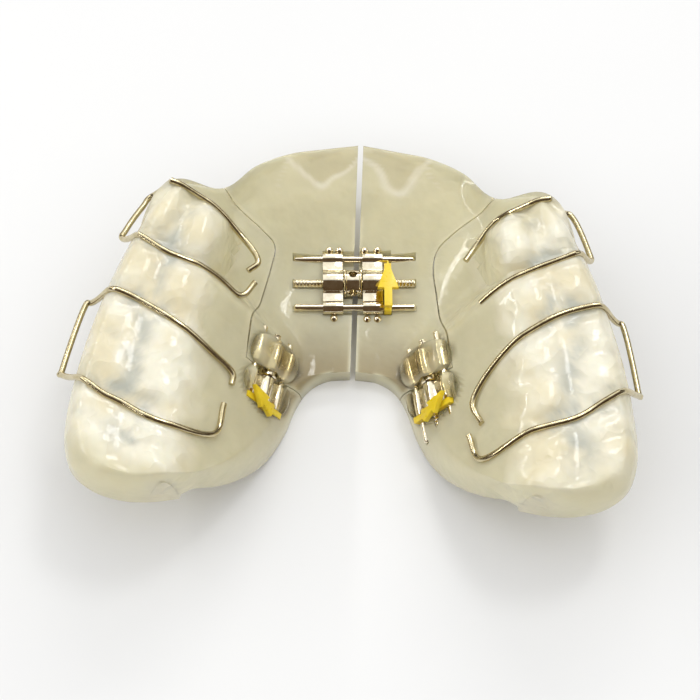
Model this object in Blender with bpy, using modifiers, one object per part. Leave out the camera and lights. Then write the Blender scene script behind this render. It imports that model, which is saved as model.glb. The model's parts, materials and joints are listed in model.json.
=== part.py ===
"""A removable upper-arch sagittal expander: an acrylic plate sawn into four segments, three expansion
screws that drive the segments apart, and four wire clasps.

It is modelled as it lies on a bench with its biting side up. +X is the viewer's right, +Y points to the
front teeth and +Z up. The origin is under the middle of the plate, on the surface that it rests on.
Lengths are in metres.
"""

import math
from collections import namedtuple

import bmesh
import bpy
from mathutils import Matrix, Vector
from mathutils.bvhtree import BVHTree

# Heights above the resting face
OCCLUSAL_HEIGHT = 0.0140
FLOOR_THICKNESS = 0.0022
EDGE_THICKNESS = 0.0005
SIDE_GUM_DROP = 0.0050
FRONT_GUM_DROP = 0.0080

# The palate's vault: a superellipse in plan, flat in the middle, rising to the gum margin
VAULT_HALF_WIDTH = 0.0163
VAULT_REACH = 0.0282
VAULT_CENTRE_Y = -0.0060
VAULT_POWER = 3.0
VAULT_FLARE = 0.05
VAULT_FLOOR_SHARE = 0.55
VAULT_BLEND_SHARE = 0.12

# The row of cheek teeth that the acrylic covers
ROW_HALF_WIDTH = 0.0242
ROW_WIDEST_Y = -0.0200
ROW_BEND = 5.0
ROW_SLANT = 0.40
TOOTH_LIMITS_Y = (0.0140, 0.0064, -0.0006, -0.0120, -0.0206)
PREMOLAR_HALF_WIDTH = 0.0044
MOLAR_HALF_WIDTH = 0.0056
EMBRASURE_DEPTH = 0.0018
EMBRASURE_NECK = 0.18
FISSURE_DEPTH = 0.0011
CUSP_GROOVE_DEPTH = 0.0007
EMBRASURE_WIDTH = 0.0013
FISSURE_SHARE = 0.28
CUSP_GROOVE_WIDTH = 0.0009
CROWN_SQUARENESS = 5.0
PREMOLAR_BLEND = 0.0020
END_SLOPE = 0.0014

# The front teeth, whose tongue side carries the plate's edge
FRONT_TOOTH_LIMITS_X = (0.0, 0.0082, 0.0128, 0.0172)
LINGUAL_SLOPE = 0.90
CINGULUM_HEIGHT = 0.0006
CINGULUM_REACH = 0.0010

# The polished side: height over the occlusal plane, as a share of the vault's depth, against distance
# from the vault's centre
SIDE_PROFILE = (
    (0.0000, -1.000),
    (0.0056, -0.996),
    (0.0074, -0.932),
    (0.0092, -0.780),
    (0.0112, -0.559),
    (0.0135, -0.322),
    (0.0160, -0.110),
    (0.0185, 0.034),
    (0.0210, 0.097),
    (0.0240, 0.106),
    (0.0600, 0.106),
)
FRONT_PROFILE = (
    (0.0000, -1.000),
    (0.0150, -1.000),
    (0.0185, -0.970),
    (0.0220, -0.814),
    (0.0255, -0.610),
    (0.0298, -0.432),
    (0.0600, -0.415),
)
FRONT_TURN = (0.45, 0.80)
OUTER_RELIEF_SHARE = 0.35
SHOULDER_RADIUS = 0.0024
LEAST_THICKNESS = 0.0012
CROSSING_RADIUS = 0.0007

# Saw cuts
MIDLINE_GAP = 0.0006
SAW_KERF = 0.0005
LEFT_CUT_PATH = (
    (0.0178, 0.0188),
    (0.0155, 0.0167),
    (0.0130, 0.0150),
    (0.0110, 0.0138),
    (0.0095, 0.0124),
    (0.0098, 0.0100),
    (0.0107, 0.0060),
    (0.0114, 0.0018),
    (0.0118, -0.0018),
)
RIGHT_CUT_PATH = (
    (0.0176, 0.0180),
    (0.0150, 0.0163),
    (0.0127, 0.0151),
    (0.0110, 0.0141),
    (0.0094, 0.0127),
    (0.0089, 0.0106),
    (0.0094, 0.0072),
    (0.0100, 0.0028),
    (0.0106, -0.0014),
)
SLIT_OUTER_REACH = 0.0024
SLIT_INNER_REACH = 0.0048

# The plate's outline in plan: places down the midline, the throat, and the rim with its height over the
# occlusal plane, matched in order
MIDLINE_Y = (0.0160, 0.0145, 0.0128, 0.0110, 0.0090, 0.0072, 0.0054, 0.0034, 0.0013, -0.0008, -0.0023)
THROAT = (
    (0.0028, -0.0026),
    (0.0049, -0.0039),
    (0.0063, -0.0062),
    (0.0074, -0.0093),
    (0.0088, -0.0121),
    (0.0100, -0.0139),
    (0.0114, -0.0156),
    (0.0130, -0.0172),
    (0.0148, -0.0186),
)
RIM = (
    (0.0003, 0.0238, -0.0061),
    (0.0042, 0.0231, -0.0060),
    (0.0082, 0.0222, -0.0058),
    (0.0120, 0.0202, -0.0054),
    (0.0153, 0.0168, -0.0046),
    (0.0204, 0.0153, -0.0026),
    (0.0234, 0.0125, -0.0032),
    (0.0254, 0.0082, -0.0034),
    (0.0271, 0.0038, -0.0033),
    (0.0284, -0.0005, -0.0032),
    (0.0294, -0.0042, -0.0032),
    (0.0301, -0.0076, -0.0032),
    (0.0306, -0.0108, -0.0032),
    (0.0309, -0.0138, -0.0032),
    (0.0308, -0.0168, -0.0033),
    (0.0298, -0.0193, -0.0036),
    (0.0274, -0.0210, -0.0042),
    (0.0243, -0.0217, -0.0047),
    (0.0213, -0.0215, -0.0052),
    (0.0184, -0.0207, -0.0060),
)
SECTIONS_PER_SPAN = 2
RIM_STEPS = (0.0, 0.0001, 0.00035, 0.0008, 0.0014, 0.0024)
FLANGE_THICKNESS = 0.0012
CROWN_STEPS = (0.0014, 0.0018, 0.0026)
EDGE_STEPS = (0.0, 0.0003, 0.0009, 0.0018)
SHORT_SECTION = 0.0070
OUTER_STEPS = 7
INNER_STEPS = 7

# Screw in the midline: its axis runs across the plate
TRANSVERSE_RISE = 0.0004
TRANSVERSE_CENTRE = (-0.00035, 0.0088, FLOOR_THICKNESS + TRANSVERSE_RISE)
TRANSVERSE_SKEW_DEG = 2.4
TRANSVERSE_PIN_SPACING = 0.0062
TRANSVERSE_PIN_RADIUS = 0.00042
TRANSVERSE_ROD_LENGTH = 0.0141
TRANSVERSE_ROD_SHIFT = 0.0002
TRANSVERSE_SPINDLE_RADIUS = 0.00052
TRANSVERSE_HEAD_RADIUS = 0.00165
TRANSVERSE_HEAD_WIDTH = 0.0021
TRANSVERSE_SLEEVE_RADIUS = 0.00080
TRANSVERSE_BARREL_RADIUS = 0.00160
TRANSVERSE_HOUSING_LENGTH = 0.0023
TRANSVERSE_KEY_HOLE_RADIUS = 0.00050
TRANSVERSE_WEB_THICKNESS = 0.00110
TRANSVERSE_TAB_THICKNESS = 0.00080
TRANSVERSE_ARROW_SHAFT = 0.00090
TRANSVERSE_ARROW_LENGTH = 0.0063
TRANSVERSE_ARROW_SHIFT = -0.0008
TRANSVERSE_ARROW_WIDTH = 0.0024
TRANSVERSE_ARROW_TURN_DEG = 0.0

# Screws at the sides: each one's axis runs back beside the molars, and its flat side lies on the wall
LEFT_SAGITTAL_SPOT = (0.0096, -0.0043)
RIGHT_SAGITTAL_SPOT = (0.0087, -0.0041)
LEFT_SAGITTAL_RISE = -0.00031
RIGHT_SAGITTAL_RISE = 0.00040
SAGITTAL_SPLAY_DEG = 11.3
SAGITTAL_ROLL_DEG = 52.0
SAGITTAL_PIN_SPACING = 0.0047
SAGITTAL_PIN_RADIUS = 0.00036
SAGITTAL_ROD_LENGTH = 0.0118
SAGITTAL_ROD_SHIFT = 0.0009
SAGITTAL_SPINDLE_RADIUS = 0.00044
SAGITTAL_HEAD_RADIUS = 0.00115
SAGITTAL_HEAD_WIDTH = 0.0010
SAGITTAL_SLEEVE_RADIUS = 0.00066
SAGITTAL_BARREL_RADIUS = 0.00100
SAGITTAL_HOUSING_LENGTH = 0.0028
SAGITTAL_KEY_HOLE_RADIUS = 0.00030
SAGITTAL_WEB_THICKNESS = 0.00085
SAGITTAL_TAB_THICKNESS = 0.00066
SAGITTAL_ARROW_SHAFT = 0.00074
SAGITTAL_ARROW_LENGTH = 0.0050
SAGITTAL_ARROW_SHIFT = 0.0
SAGITTAL_ARROW_WIDTH = 0.0018
SAGITTAL_ARROW_TURN_DEG = 27.0
DOME_MARGIN = 0.0008
DOME_SQUARENESS = 2.8

# Shapes that the three screws share
ARROW_HEAD_SHARE = 0.55
ARROW_THICKNESS = 0.0006
ARROW_CLEARANCE = 0.00015
ROD_CHAMFER = 0.00012
KEY_HOLE_TURN_DEG = 20.0

# Fits
HEAD_CLEARANCE = 0.00010
HEAD_WINDOW_CLEARANCE = 0.00025
BORE_CLEARANCE = 0.00008
POCKET_CLEARANCE = 0.00012
TUNNEL_CLEARANCE = 0.00012

# Wire clasps: plan points of each arm, from its hooked end over the biting side to the cheek side, and the
# bridge that joins the arms outside the cheek side
WIRE_RADIUS = 0.00035
WIRE_RISE = 0.00020
WIRE_GROOVE_CLEARANCE = 0.00017
WIRE_STEPS = 2
WIRE_BEVEL_STEPS = 1
TRENCH_RISE = 0.0020
WIRE_SMOOTHINGS = 1
BRIDGE_OVERLAP = 0.4
BRIDGE_DROP = 0.0036
LEFT_FRONT_CLASP = (
    ((-0.0122, 0.0060), (-0.0111, 0.0073), (-0.0126, 0.0097), (-0.0153, 0.0123), (-0.0187, 0.0141)),
    ((-0.0232, 0.0150), (-0.0246, 0.0135), (-0.0262, 0.0106), (-0.0264, 0.0093)),
    ((-0.0234, 0.0073), (-0.0207, 0.0057), (-0.0157, 0.0042), (-0.0129, 0.0028), (-0.0113, 0.0046)),
)
LEFT_REAR_CLASP = (
    ((-0.0133, -0.0080), (-0.0134, -0.0065), (-0.0161, -0.0049), (-0.0223, -0.0011), (-0.0258, 0.0006)),
    ((-0.0292, 0.0012), (-0.0302, 0.0004), (-0.0319, -0.0068), (-0.0317, -0.0079)),
    ((-0.0274, -0.0113), (-0.0248, -0.0126), (-0.0206, -0.0147), (-0.0150, -0.0148), (-0.0140, -0.0106)),
)
RIGHT_FRONT_CLASP = (
    ((0.0122, 0.0083), (0.0134, 0.0102), (0.0155, 0.0129), (0.0180, 0.0136)),
    ((0.0229, 0.0146), (0.0244, 0.0142), (0.0261, 0.0100), (0.0261, 0.0085)),
    ((0.0232, 0.0070), (0.0199, 0.0057), (0.0163, 0.0039), (0.0138, 0.0023)),
)
RIGHT_REAR_CLASP = (
    ((0.0141, -0.0119), (0.0132, -0.0088), (0.0163, -0.0043), (0.0216, -0.0006), (0.0256, 0.0008)),
    ((0.0290, 0.0011), (0.0300, 0.0001), (0.0313, -0.0070), (0.0311, -0.0079)),
    ((0.0269, -0.0105), (0.0239, -0.0125), (0.0191, -0.0141), (0.0142, -0.0162), (0.0127, -0.0130)),
)

# Facets
ROD_SIDES = 12
HEAD_SIDES = 16
LOBE_STEP_DEG = 30.0
BORE_SIDES = 12
DOME_SIDES = 12
DOME_RINGS = 6
CUTTER_REACH = 0.0400
WELD_DISTANCE = 0.000001


def smooth_step(low, high, value):
    """Return 0 below low, 1 above high and an S-shaped ramp between."""
    share = min(max((value - low) / (high - low), 0.0), 1.0)
    return share * share * (3.0 - 2.0 * share)


def bell(distance, width):
    """Return a rounded bump that is 1 at no distance."""
    return math.exp(-(distance / width) ** 2)


def profile_height(profile, distance):
    """Read the smooth curve through a profile's points."""
    last = len(profile) - 1
    index = 0
    while index < last - 1 and distance > profile[index + 1][0]:
        index += 1

    def slope(at):
        before = profile[max(at - 1, 0)]
        after = profile[min(at + 1, last)]
        return (after[1] - before[1]) / (after[0] - before[0])

    start = profile[index]
    end = profile[index + 1]
    width = end[0] - start[0]
    share = min(max((distance - start[0]) / width, 0.0), 1.0)
    square = share * share
    cube = square * share
    return (
        start[1] * (2.0 * cube - 3.0 * square + 1.0)
        + end[1] * (3.0 * square - 2.0 * cube)
        + slope(index) * width * (cube - 2.0 * square + share)
        + slope(index + 1) * width * (cube - square)
    )


def curve_point(points, place):
    """Read the smooth curve through points at a place counted in spans."""
    last = len(points) - 1
    index = min(int(place), last - 1)
    share = place - index
    start = Vector(points[index])
    end = Vector(points[index + 1])
    before = Vector(points[index - 1]) if index > 0 else 2.0 * start - end
    after = Vector(points[index + 2]) if index + 2 <= last else 2.0 * end - start
    return 0.5 * (
        2.0 * start
        + share * (end - before)
        + share ** 2 * (2.0 * before - 5.0 * start + 4.0 * end - after)
        + share ** 3 * (3.0 * start - before - 3.0 * end + after)
    )


def soft_maximum(first, second):
    """Return the larger of two heights, with a rounded crossing."""
    return (first + second + math.hypot(first - second, CROSSING_RADIUS)) / 2.0


def frontness(x, y):
    """Return 0 beside the vault's centre and 1 in front of it."""
    forward = max(y - VAULT_CENTRE_Y, 0.0)
    return smooth_step(FRONT_TURN[0], FRONT_TURN[1], forward / max(math.hypot(x, forward), 1e-9))


def row_place(x, y, margin=0.0):
    """Return a point's place along the row of cheek teeth, its offset across it in half widths, and how far
    it is from where two teeth touch."""
    row_x = ROW_HALF_WIDTH - ROW_BEND * (y - ROW_WIDEST_Y) ** 2
    along = y - ROW_SLANT * (x - row_x)
    molar = smooth_step(-PREMOLAR_BLEND, PREMOLAR_BLEND, TOOTH_LIMITS_Y[2] - along)
    half_width = PREMOLAR_HALF_WIDTH + (MOLAR_HALF_WIDTH - PREMOLAR_HALF_WIDTH) * molar + margin
    contact = min(abs(along - limit) for limit in TOOTH_LIMITS_Y[1:-1])
    half_width *= 1.0 - EMBRASURE_NECK * bell(contact, EMBRASURE_WIDTH)
    return along, (x - row_x) / half_width, contact


def crown_share(x, y, margin=0.0):
    """Return how far the cheek teeth, grown by a margin, stand up: 0 at the gum and 1 at the cusps."""
    along, across, _ = row_place(x, y, margin)
    slope = END_SLOPE + 2.0 * margin
    side = math.sqrt(max(1.0 - abs(across) ** CROWN_SQUARENESS, 0.0))
    front = math.sqrt(1.0 - smooth_step(0.0, slope, along - TOOTH_LIMITS_Y[0] - margin + slope))
    back = math.sqrt(1.0 - smooth_step(0.0, slope, TOOTH_LIMITS_Y[-1] - margin - along + slope))
    return side * front * back


def crown_relief(x, y):
    """Return the depth of the grooves between and across the cheek teeth."""
    along, across, contact = row_place(x, y)
    middle = [(a + b) / 2.0 for a, b in zip(TOOTH_LIMITS_Y, TOOTH_LIMITS_Y[1:])]
    groove = max(bell(along - at, CUSP_GROOVE_WIDTH) for at in middle[2:])
    depth = EMBRASURE_DEPTH * bell(contact, EMBRASURE_WIDTH)
    depth += FISSURE_DEPTH * bell(across, FISSURE_SHARE) * (1.0 - bell(contact, EMBRASURE_WIDTH))
    depth += CUSP_GROOVE_DEPTH * groove * min(abs(across), 1.0)
    return depth


def front_tooth_bulge(x):
    """Return 1 on the middle of each front tooth and 0 between two."""
    for low, high in zip(FRONT_TOOTH_LIMITS_X, FRONT_TOOTH_LIMITS_X[1:]):
        if abs(x) <= high:
            return math.sin(math.pi * (abs(x) - low) / (high - low)) ** 2
    return 0.0


def tissue_height(x, y, margin=0.0):
    """Return the height of the palate and of the teeth grown by a margin, on which the plate lies."""
    x = abs(x)
    forward = max(y - VAULT_CENTRE_Y, 0.0)
    half_width = VAULT_HALF_WIDTH + VAULT_FLARE * max(VAULT_CENTRE_Y - y, 0.0)
    share = ((x / half_width) ** VAULT_POWER + (forward / VAULT_REACH) ** VAULT_POWER) ** (1.0 / VAULT_POWER)
    front = frontness(x, y)
    gum = OCCLUSAL_HEIGHT - SIDE_GUM_DROP - (FRONT_GUM_DROP - SIDE_GUM_DROP) * front
    rise = min(share, 1.0) - VAULT_FLOOR_SHARE
    if rise < VAULT_BLEND_SHARE:
        rise = max(rise + VAULT_BLEND_SHARE, 0.0) ** 2 / (4.0 * VAULT_BLEND_SHARE)
    height = gum * rise / (1.0 - VAULT_FLOOR_SHARE)
    beyond = (share - 1.0) * VAULT_REACH
    height += front * max(beyond, 0.0) * LINGUAL_SLOPE
    height -= front * CINGULUM_HEIGHT * front_tooth_bulge(x) * bell(beyond - CINGULUM_REACH, CINGULUM_REACH)
    crown = (OCCLUSAL_HEIGHT - height) * crown_share(x, y, margin)
    if crown <= 0.0:
        return height
    return height + max(crown - crown_relief(x, y), 0.0)


def polished_height(x, y):
    """Return the height of the polished side, away from its rounded edges."""
    x = abs(x)
    distance = math.hypot(x, max(y - VAULT_CENTRE_Y, 0.0))
    front = frontness(x, y)
    side = profile_height(SIDE_PROFILE, distance)
    ahead = profile_height(FRONT_PROFILE, distance)
    relief = OUTER_RELIEF_SHARE * crown_relief(x, y) * crown_share(x, y)
    depth = OCCLUSAL_HEIGHT - FLOOR_THICKNESS
    height = OCCLUSAL_HEIGHT + depth * (side + (ahead - side) * front) - relief
    return soft_maximum(height, tissue_height(x, y, LEAST_THICKNESS) + LEAST_THICKNESS)


def section(inner, rim, has_round_edge):
    """Return one closed loop: over the polished side to the rim, then back along the tissue side."""
    start = Vector(inner[:2])
    end = Vector(rim[:2])
    rim_height = OCCLUSAL_HEIGHT + rim[2]
    length = (end - start).length
    direction = (end - start) / length
    top = rim_height + EDGE_THICKNESS
    beside_row = rim[0] > FRONT_TOOTH_LIMITS_X[-1]
    points = []

    def place(distance, height):
        spot = start + direction * distance
        points.append((spot.x, spot.y, height))

    def spot_at(distance):
        spot = start + direction * distance
        return spot.x, spot.y

    def underside(distance):
        height = tissue_height(*spot_at(distance))
        if distance >= length:
            return rim_height
        if beside_row and length - distance <= FLANGE_THICKNESS:
            return max(height, rim_height)
        return height

    fit = min(length / SHORT_SECTION, 1.0)
    stations = [step * fit for step in EDGE_STEPS]
    spare = length - (RIM_STEPS[-1] + EDGE_STEPS[-1]) * fit
    last_edge = stations[-1]
    stations += [last_edge + spare * step / OUTER_STEPS for step in range(1, OUTER_STEPS + 1)]
    stations += [length - step * fit for step in reversed(RIM_STEPS[:-1])]
    for distance in stations:
        height = polished_height(*spot_at(distance))
        low = underside(distance) + EDGE_THICKNESS
        if has_round_edge:
            share = min(distance / EDGE_STEPS[-1], 1.0)
            height = low + (height - low) * math.sqrt(1.0 - (1.0 - share) ** 2)
        share = min((length - distance) / SHOULDER_RADIUS, 1.0)
        height = top + (height - top) * math.sqrt(max(1.0 - (1.0 - share) ** 2, 0.0))
        place(distance, max(height, low))
    for step in (0.0, FLANGE_THICKNESS) + CROWN_STEPS:
        place(length - step, underside(length - step))
    spare = length - CROWN_STEPS[-1]
    for step in range(1, INNER_STEPS + 1):
        distance = spare * (1.0 - step / INNER_STEPS)
        place(distance, underside(distance))
    return points


def half_plate_mesh(name, side):
    """Loft one half of the plate, before it is sawn."""
    inner_edge = [(MIDLINE_GAP / 2.0, y) for y in MIDLINE_Y] + list(THROAT)
    corner = len(MIDLINE_Y) - 1
    loops = []
    for index in range((len(RIM) - 1) * SECTIONS_PER_SPAN + 1):
        place = index / SECTIONS_PER_SPAN
        if place <= corner:
            inner = curve_point(inner_edge[:corner + 1], place)
        else:
            inner = curve_point(inner_edge[corner:], place - corner)
        loops.append(section(inner, curve_point(RIM, place), place > corner))
    mesh = bmesh.new()
    rings = [[mesh.verts.new((side * x, y, z)) for x, y, z in loop] for loop in loops]
    count = len(rings[0])
    for ring, following in zip(rings, rings[1:]):
        for index in range(count):
            after = (index + 1) % count
            mesh.faces.new((ring[index], ring[after], following[after], following[index]))
    mesh.faces.new(rings[0])
    mesh.faces.new(rings[-1])
    bmesh.ops.recalc_face_normals(mesh, faces=mesh.faces)
    data = bpy.data.meshes.new(name)
    mesh.to_mesh(data)
    mesh.free()
    return data


ScrewSizes = namedtuple(
    "ScrewSizes",
    "pin_spacing pin_radius rod_length rod_shift spindle_radius head_radius head_width sleeve_radius barrel_radius "
    "housing_length web_thickness key_hole_radius tab_thickness arrow_shaft arrow_length arrow_width "
    "arrow_shift arrow_turn tab_holds_both_pins",
)

TRANSVERSE = ScrewSizes(
    TRANSVERSE_PIN_SPACING,
    TRANSVERSE_PIN_RADIUS,
    TRANSVERSE_ROD_LENGTH,
    TRANSVERSE_ROD_SHIFT,
    TRANSVERSE_SPINDLE_RADIUS,
    TRANSVERSE_HEAD_RADIUS,
    TRANSVERSE_HEAD_WIDTH,
    TRANSVERSE_SLEEVE_RADIUS,
    TRANSVERSE_BARREL_RADIUS,
    TRANSVERSE_HOUSING_LENGTH,
    TRANSVERSE_WEB_THICKNESS,
    TRANSVERSE_KEY_HOLE_RADIUS,
    TRANSVERSE_TAB_THICKNESS,
    TRANSVERSE_ARROW_SHAFT,
    TRANSVERSE_ARROW_LENGTH,
    TRANSVERSE_ARROW_WIDTH,
    TRANSVERSE_ARROW_SHIFT,
    TRANSVERSE_ARROW_TURN_DEG,
    False,
)

SAGITTAL = ScrewSizes(
    SAGITTAL_PIN_SPACING,
    SAGITTAL_PIN_RADIUS,
    SAGITTAL_ROD_LENGTH,
    SAGITTAL_ROD_SHIFT,
    SAGITTAL_SPINDLE_RADIUS,
    SAGITTAL_HEAD_RADIUS,
    SAGITTAL_HEAD_WIDTH,
    SAGITTAL_SLEEVE_RADIUS,
    SAGITTAL_BARREL_RADIUS,
    SAGITTAL_HOUSING_LENGTH,
    SAGITTAL_WEB_THICKNESS,
    SAGITTAL_KEY_HOLE_RADIUS,
    SAGITTAL_TAB_THICKNESS,
    SAGITTAL_ARROW_SHAFT,
    SAGITTAL_ARROW_LENGTH,
    SAGITTAL_ARROW_WIDTH,
    SAGITTAL_ARROW_SHIFT,
    SAGITTAL_ARROW_TURN_DEG,
    True,
)

# Colour, roughness, metallic and transmission
ACRYLIC = ((0.86, 0.83, 0.70), 0.12, 0.0, 0.6)
STEEL = ((0.80, 0.76, 0.66), 0.20, 1.0, 0.0)
WIRE = ((0.82, 0.76, 0.60), 0.25, 1.0, 0.0)
YELLOW = ((0.90, 0.68, 0.03), 0.45, 0.0, 0.0)


def clear_scene():
    """Remove whatever the scene holds."""
    for item in list(bpy.data.objects):
        bpy.data.objects.remove(item, do_unlink=True)


def new_collection(name):
    """Add a collection to the scene."""
    collection = bpy.data.collections.new(name)
    bpy.context.scene.collection.children.link(collection)
    return collection


def make_material(name, look):
    """Make one piece's material from its look."""
    colour, roughness, metallic, transmission = look
    material = bpy.data.materials.new(name)
    material.use_nodes = True
    shader = material.node_tree.nodes["Principled BSDF"]
    shader.inputs["Base Color"].default_value = (*colour, 1.0)
    shader.inputs["Roughness"].default_value = roughness
    shader.inputs["Metallic"].default_value = metallic
    shader.inputs["Transmission Weight"].default_value = transmission
    return material


def add_part(name, mesh, look, collection, parent=None, matrix=None):
    """Add one piece of the object, with its own material."""
    mesh.name = name
    mesh.materials.clear()
    mesh.materials.append(make_material(name, look))
    part = bpy.data.objects.new(name, mesh)
    collection.objects.link(part)
    part.parent = parent
    if matrix is not None:
        part.matrix_local = matrix
    return part


def add_cutter(name, mesh, collection, matrix=None):
    """Add a solid that only shapes others."""
    cutter = bpy.data.objects.new(name, mesh)
    collection.objects.link(cutter)
    if matrix is not None:
        cutter.matrix_world = matrix
    cutter.hide_render = True
    cutter.display_type = "WIRE"
    return cutter


def add_boolean(part, cutter, operation, solver="EXACT"):
    """Combine a part with a cutter. MANIFOLD is for the plates and tabs, where EXACT leaves open edges."""
    boolean = part.modifiers.new(cutter.name, "BOOLEAN")
    boolean.object = cutter
    boolean.operation = operation
    boolean.solver = solver


def evaluated_mesh(data, modify=None):
    """Turn a curve or a modified mesh into a plain welded mesh."""
    holder = bpy.data.objects.new("holder", data)
    bpy.context.scene.collection.objects.link(holder)
    if modify is not None:
        modify(holder)
    graph = bpy.context.evaluated_depsgraph_get()
    graph.update()
    mesh = bpy.data.meshes.new_from_object(holder.evaluated_get(graph))
    bpy.data.objects.remove(holder, do_unlink=True)
    solid = bmesh.new()
    solid.from_mesh(mesh)
    bmesh.ops.remove_doubles(solid, verts=solid.verts, dist=WELD_DISTANCE)
    solid.to_mesh(mesh)
    solid.free()
    return mesh


def outline_mesh(outlines, depth):
    """Extrude flat outlines, the first one outside and the others as holes, centred on the plane."""
    curve = bpy.data.curves.new("outline", "CURVE")
    curve.dimensions = "2D"
    curve.fill_mode = "BOTH"
    curve.extrude = depth / 2.0
    for outline in outlines:
        spline = curve.splines.new("POLY")
        spline.points.add(len(outline) - 1)
        spline.use_cyclic_u = True
        for point, (x, y) in zip(spline.points, outline):
            point.co = (x, y, 0.0, 1.0)
    return evaluated_mesh(curve)


def tube_mesh(points, radius, roundness):
    """Sweep a round wire along points."""
    curve = bpy.data.curves.new("tube", "CURVE")
    curve.dimensions = "3D"
    curve.bevel_depth = radius
    curve.bevel_resolution = roundness
    curve.use_fill_caps = True
    spline = curve.splines.new("POLY")
    spline.points.add(len(points) - 1)
    for point, spot in zip(spline.points, points):
        point.co = (*spot, 1.0)
    return evaluated_mesh(curve)


def groove_mesh(points, radius):
    """Make a trench for a round wire along points, open above and rounded below."""
    solid = bmesh.new()
    rings = []
    last = len(points) - 1
    for index, point in enumerate(points):
        run = Vector(points[min(index + 1, last)]) - Vector(points[max(index - 1, 0)])
        across = Vector((run.y, -run.x, 0.0)).normalized() * radius
        depth = radius * run.length / run.xy.length
        spots = [(-1.0, TRENCH_RISE), (-1.0, 0.0), (-0.5, -depth), (0.5, -depth), (1.0, 0.0), (1.0, TRENCH_RISE)]
        rings.append([solid.verts.new(Vector(point) + across * side + Vector((0.0, 0.0, up))) for side, up in spots])
    count = len(rings[0])
    for ring, following in zip(rings, rings[1:]):
        for index in range(count):
            after = (index + 1) % count
            solid.faces.new((ring[index], ring[after], following[after], following[index]))
    solid.faces.new(rings[0])
    solid.faces.new(rings[-1])
    bmesh.ops.recalc_face_normals(solid, faces=solid.faces)
    mesh = bpy.data.meshes.new("groove")
    solid.to_mesh(mesh)
    solid.free()
    return mesh


def turned_mesh(profile, sides):
    """Turn a profile of (radius, height) points, listed down from the top, about the Z axis."""
    mesh = bpy.data.meshes.new("profile")
    vertices = [(radius, 0.0, height) for radius, height in profile]
    mesh.from_pydata(vertices, [(index, index + 1) for index in range(len(profile) - 1)], [])

    def turn(holder):
        screw = holder.modifiers.new("turn", "SCREW")
        screw.axis = "Z"
        screw.steps = sides
        screw.render_steps = sides
        screw.use_merge_vertices = True
        screw.merge_threshold = WELD_DISTANCE

    return evaluated_mesh(mesh, turn)


def arc(centre, radius, first_deg, last_deg):
    """Return the points of an arc in a plane."""
    steps = max(int(round(abs(last_deg - first_deg) / LOBE_STEP_DEG)), 2)
    points = []
    for step in range(steps + 1):
        angle = math.radians(first_deg + (last_deg - first_deg) * step / steps)
        points.append((centre + radius * math.cos(angle), radius * math.sin(angle)))
    return points


def circle(centre, radius):
    """Return the points of a bore."""
    angles = [2.0 * math.pi * side / BORE_SIDES for side in range(BORE_SIDES)]
    return [(centre + radius * math.cos(angle), radius * math.sin(angle)) for angle in angles]


def housing_outline(sizes, grow=0.0):
    """Return the outline of a housing: a barrel between two sleeves, joined by webs."""
    barrel = sizes.barrel_radius + grow
    sleeve = sizes.sleeve_radius + grow
    web = sizes.web_thickness / 2.0 + grow
    at_barrel = math.degrees(math.asin(web / barrel))
    at_sleeve = math.degrees(math.asin(web / sleeve))
    place = sizes.pin_spacing / 2.0
    points = arc(0.0, barrel, 180.0 + at_barrel, 360.0 - at_barrel)
    points += arc(place, sleeve, 180.0 + at_sleeve, 540.0 - at_sleeve)
    points += arc(0.0, barrel, at_barrel, 180.0 - at_barrel)
    points += arc(-place, sleeve, at_sleeve, 360.0 - at_sleeve)
    return points


def lower_outline(sizes, grow=0.0):
    """Return the lower half of a housing's outline, between its widest points."""
    barrel = sizes.barrel_radius + grow
    sleeve = sizes.sleeve_radius + grow
    web = sizes.web_thickness / 2.0 + grow
    at_barrel = math.degrees(math.asin(web / barrel))
    at_sleeve = math.degrees(math.asin(web / sleeve))
    place = sizes.pin_spacing / 2.0
    points = arc(-place, sleeve, 180.0, 360.0 - at_sleeve)
    points += arc(0.0, barrel, 180.0 + at_barrel, 360.0 - at_barrel)
    points += arc(place, sleeve, 180.0 + at_sleeve, 360.0)
    return points


def open_outline(sizes, grow):
    """Return a housing's outline that runs straight up from its widest points."""
    edge = sizes.pin_spacing / 2.0 + sizes.sleeve_radius + grow
    return lower_outline(sizes, grow) + [(edge, CUTTER_REACH), (-edge, CUTTER_REACH)]


def bores(sizes):
    """Return the outlines of the three bores for the pins and the spindle."""
    pin = sizes.pin_radius + BORE_CLEARANCE
    place = sizes.pin_spacing / 2.0
    return [circle(-place, pin), circle(0.0, sizes.spindle_radius + BORE_CLEARANCE), circle(place, pin)]


def housing_start(sizes):
    """Return how far from the screw's middle a housing starts."""
    return sizes.head_width / 2.0 + HEAD_CLEARANCE


def housing_end(sizes):
    """Return how far from the screw's middle a housing ends."""
    return housing_start(sizes) + sizes.housing_length


def tab_end(sizes):
    """Return how far from the screw's middle the arrow tab's stem ends."""
    return housing_end(sizes) + ARROW_CLEARANCE + sizes.tab_thickness


# A rod's own Z axis laid along the screw, and an outline's plane set across it
ALONG = Matrix.Rotation(math.radians(90.0), 4, "Y")
ACROSS = Matrix(((0, 0, 1, 0), (1, 0, 0, 0), (0, 1, 0, 0), (0, 0, 0, 1)))


def rod_mesh(sizes, radius, middle, sides):
    """Turn a rod with chamfered ends, and whatever its profile has in the middle."""
    first = sizes.rod_length / 2.0 + sizes.rod_shift
    last = sizes.rod_shift - sizes.rod_length / 2.0
    profile = [(0.0, first), (radius - ROD_CHAMFER, first), (radius, first - ROD_CHAMFER)]
    profile += middle
    profile += [(radius, last + ROD_CHAMFER), (radius - ROD_CHAMFER, last), (0.0, last)]
    return turned_mesh(profile, sides)


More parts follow.
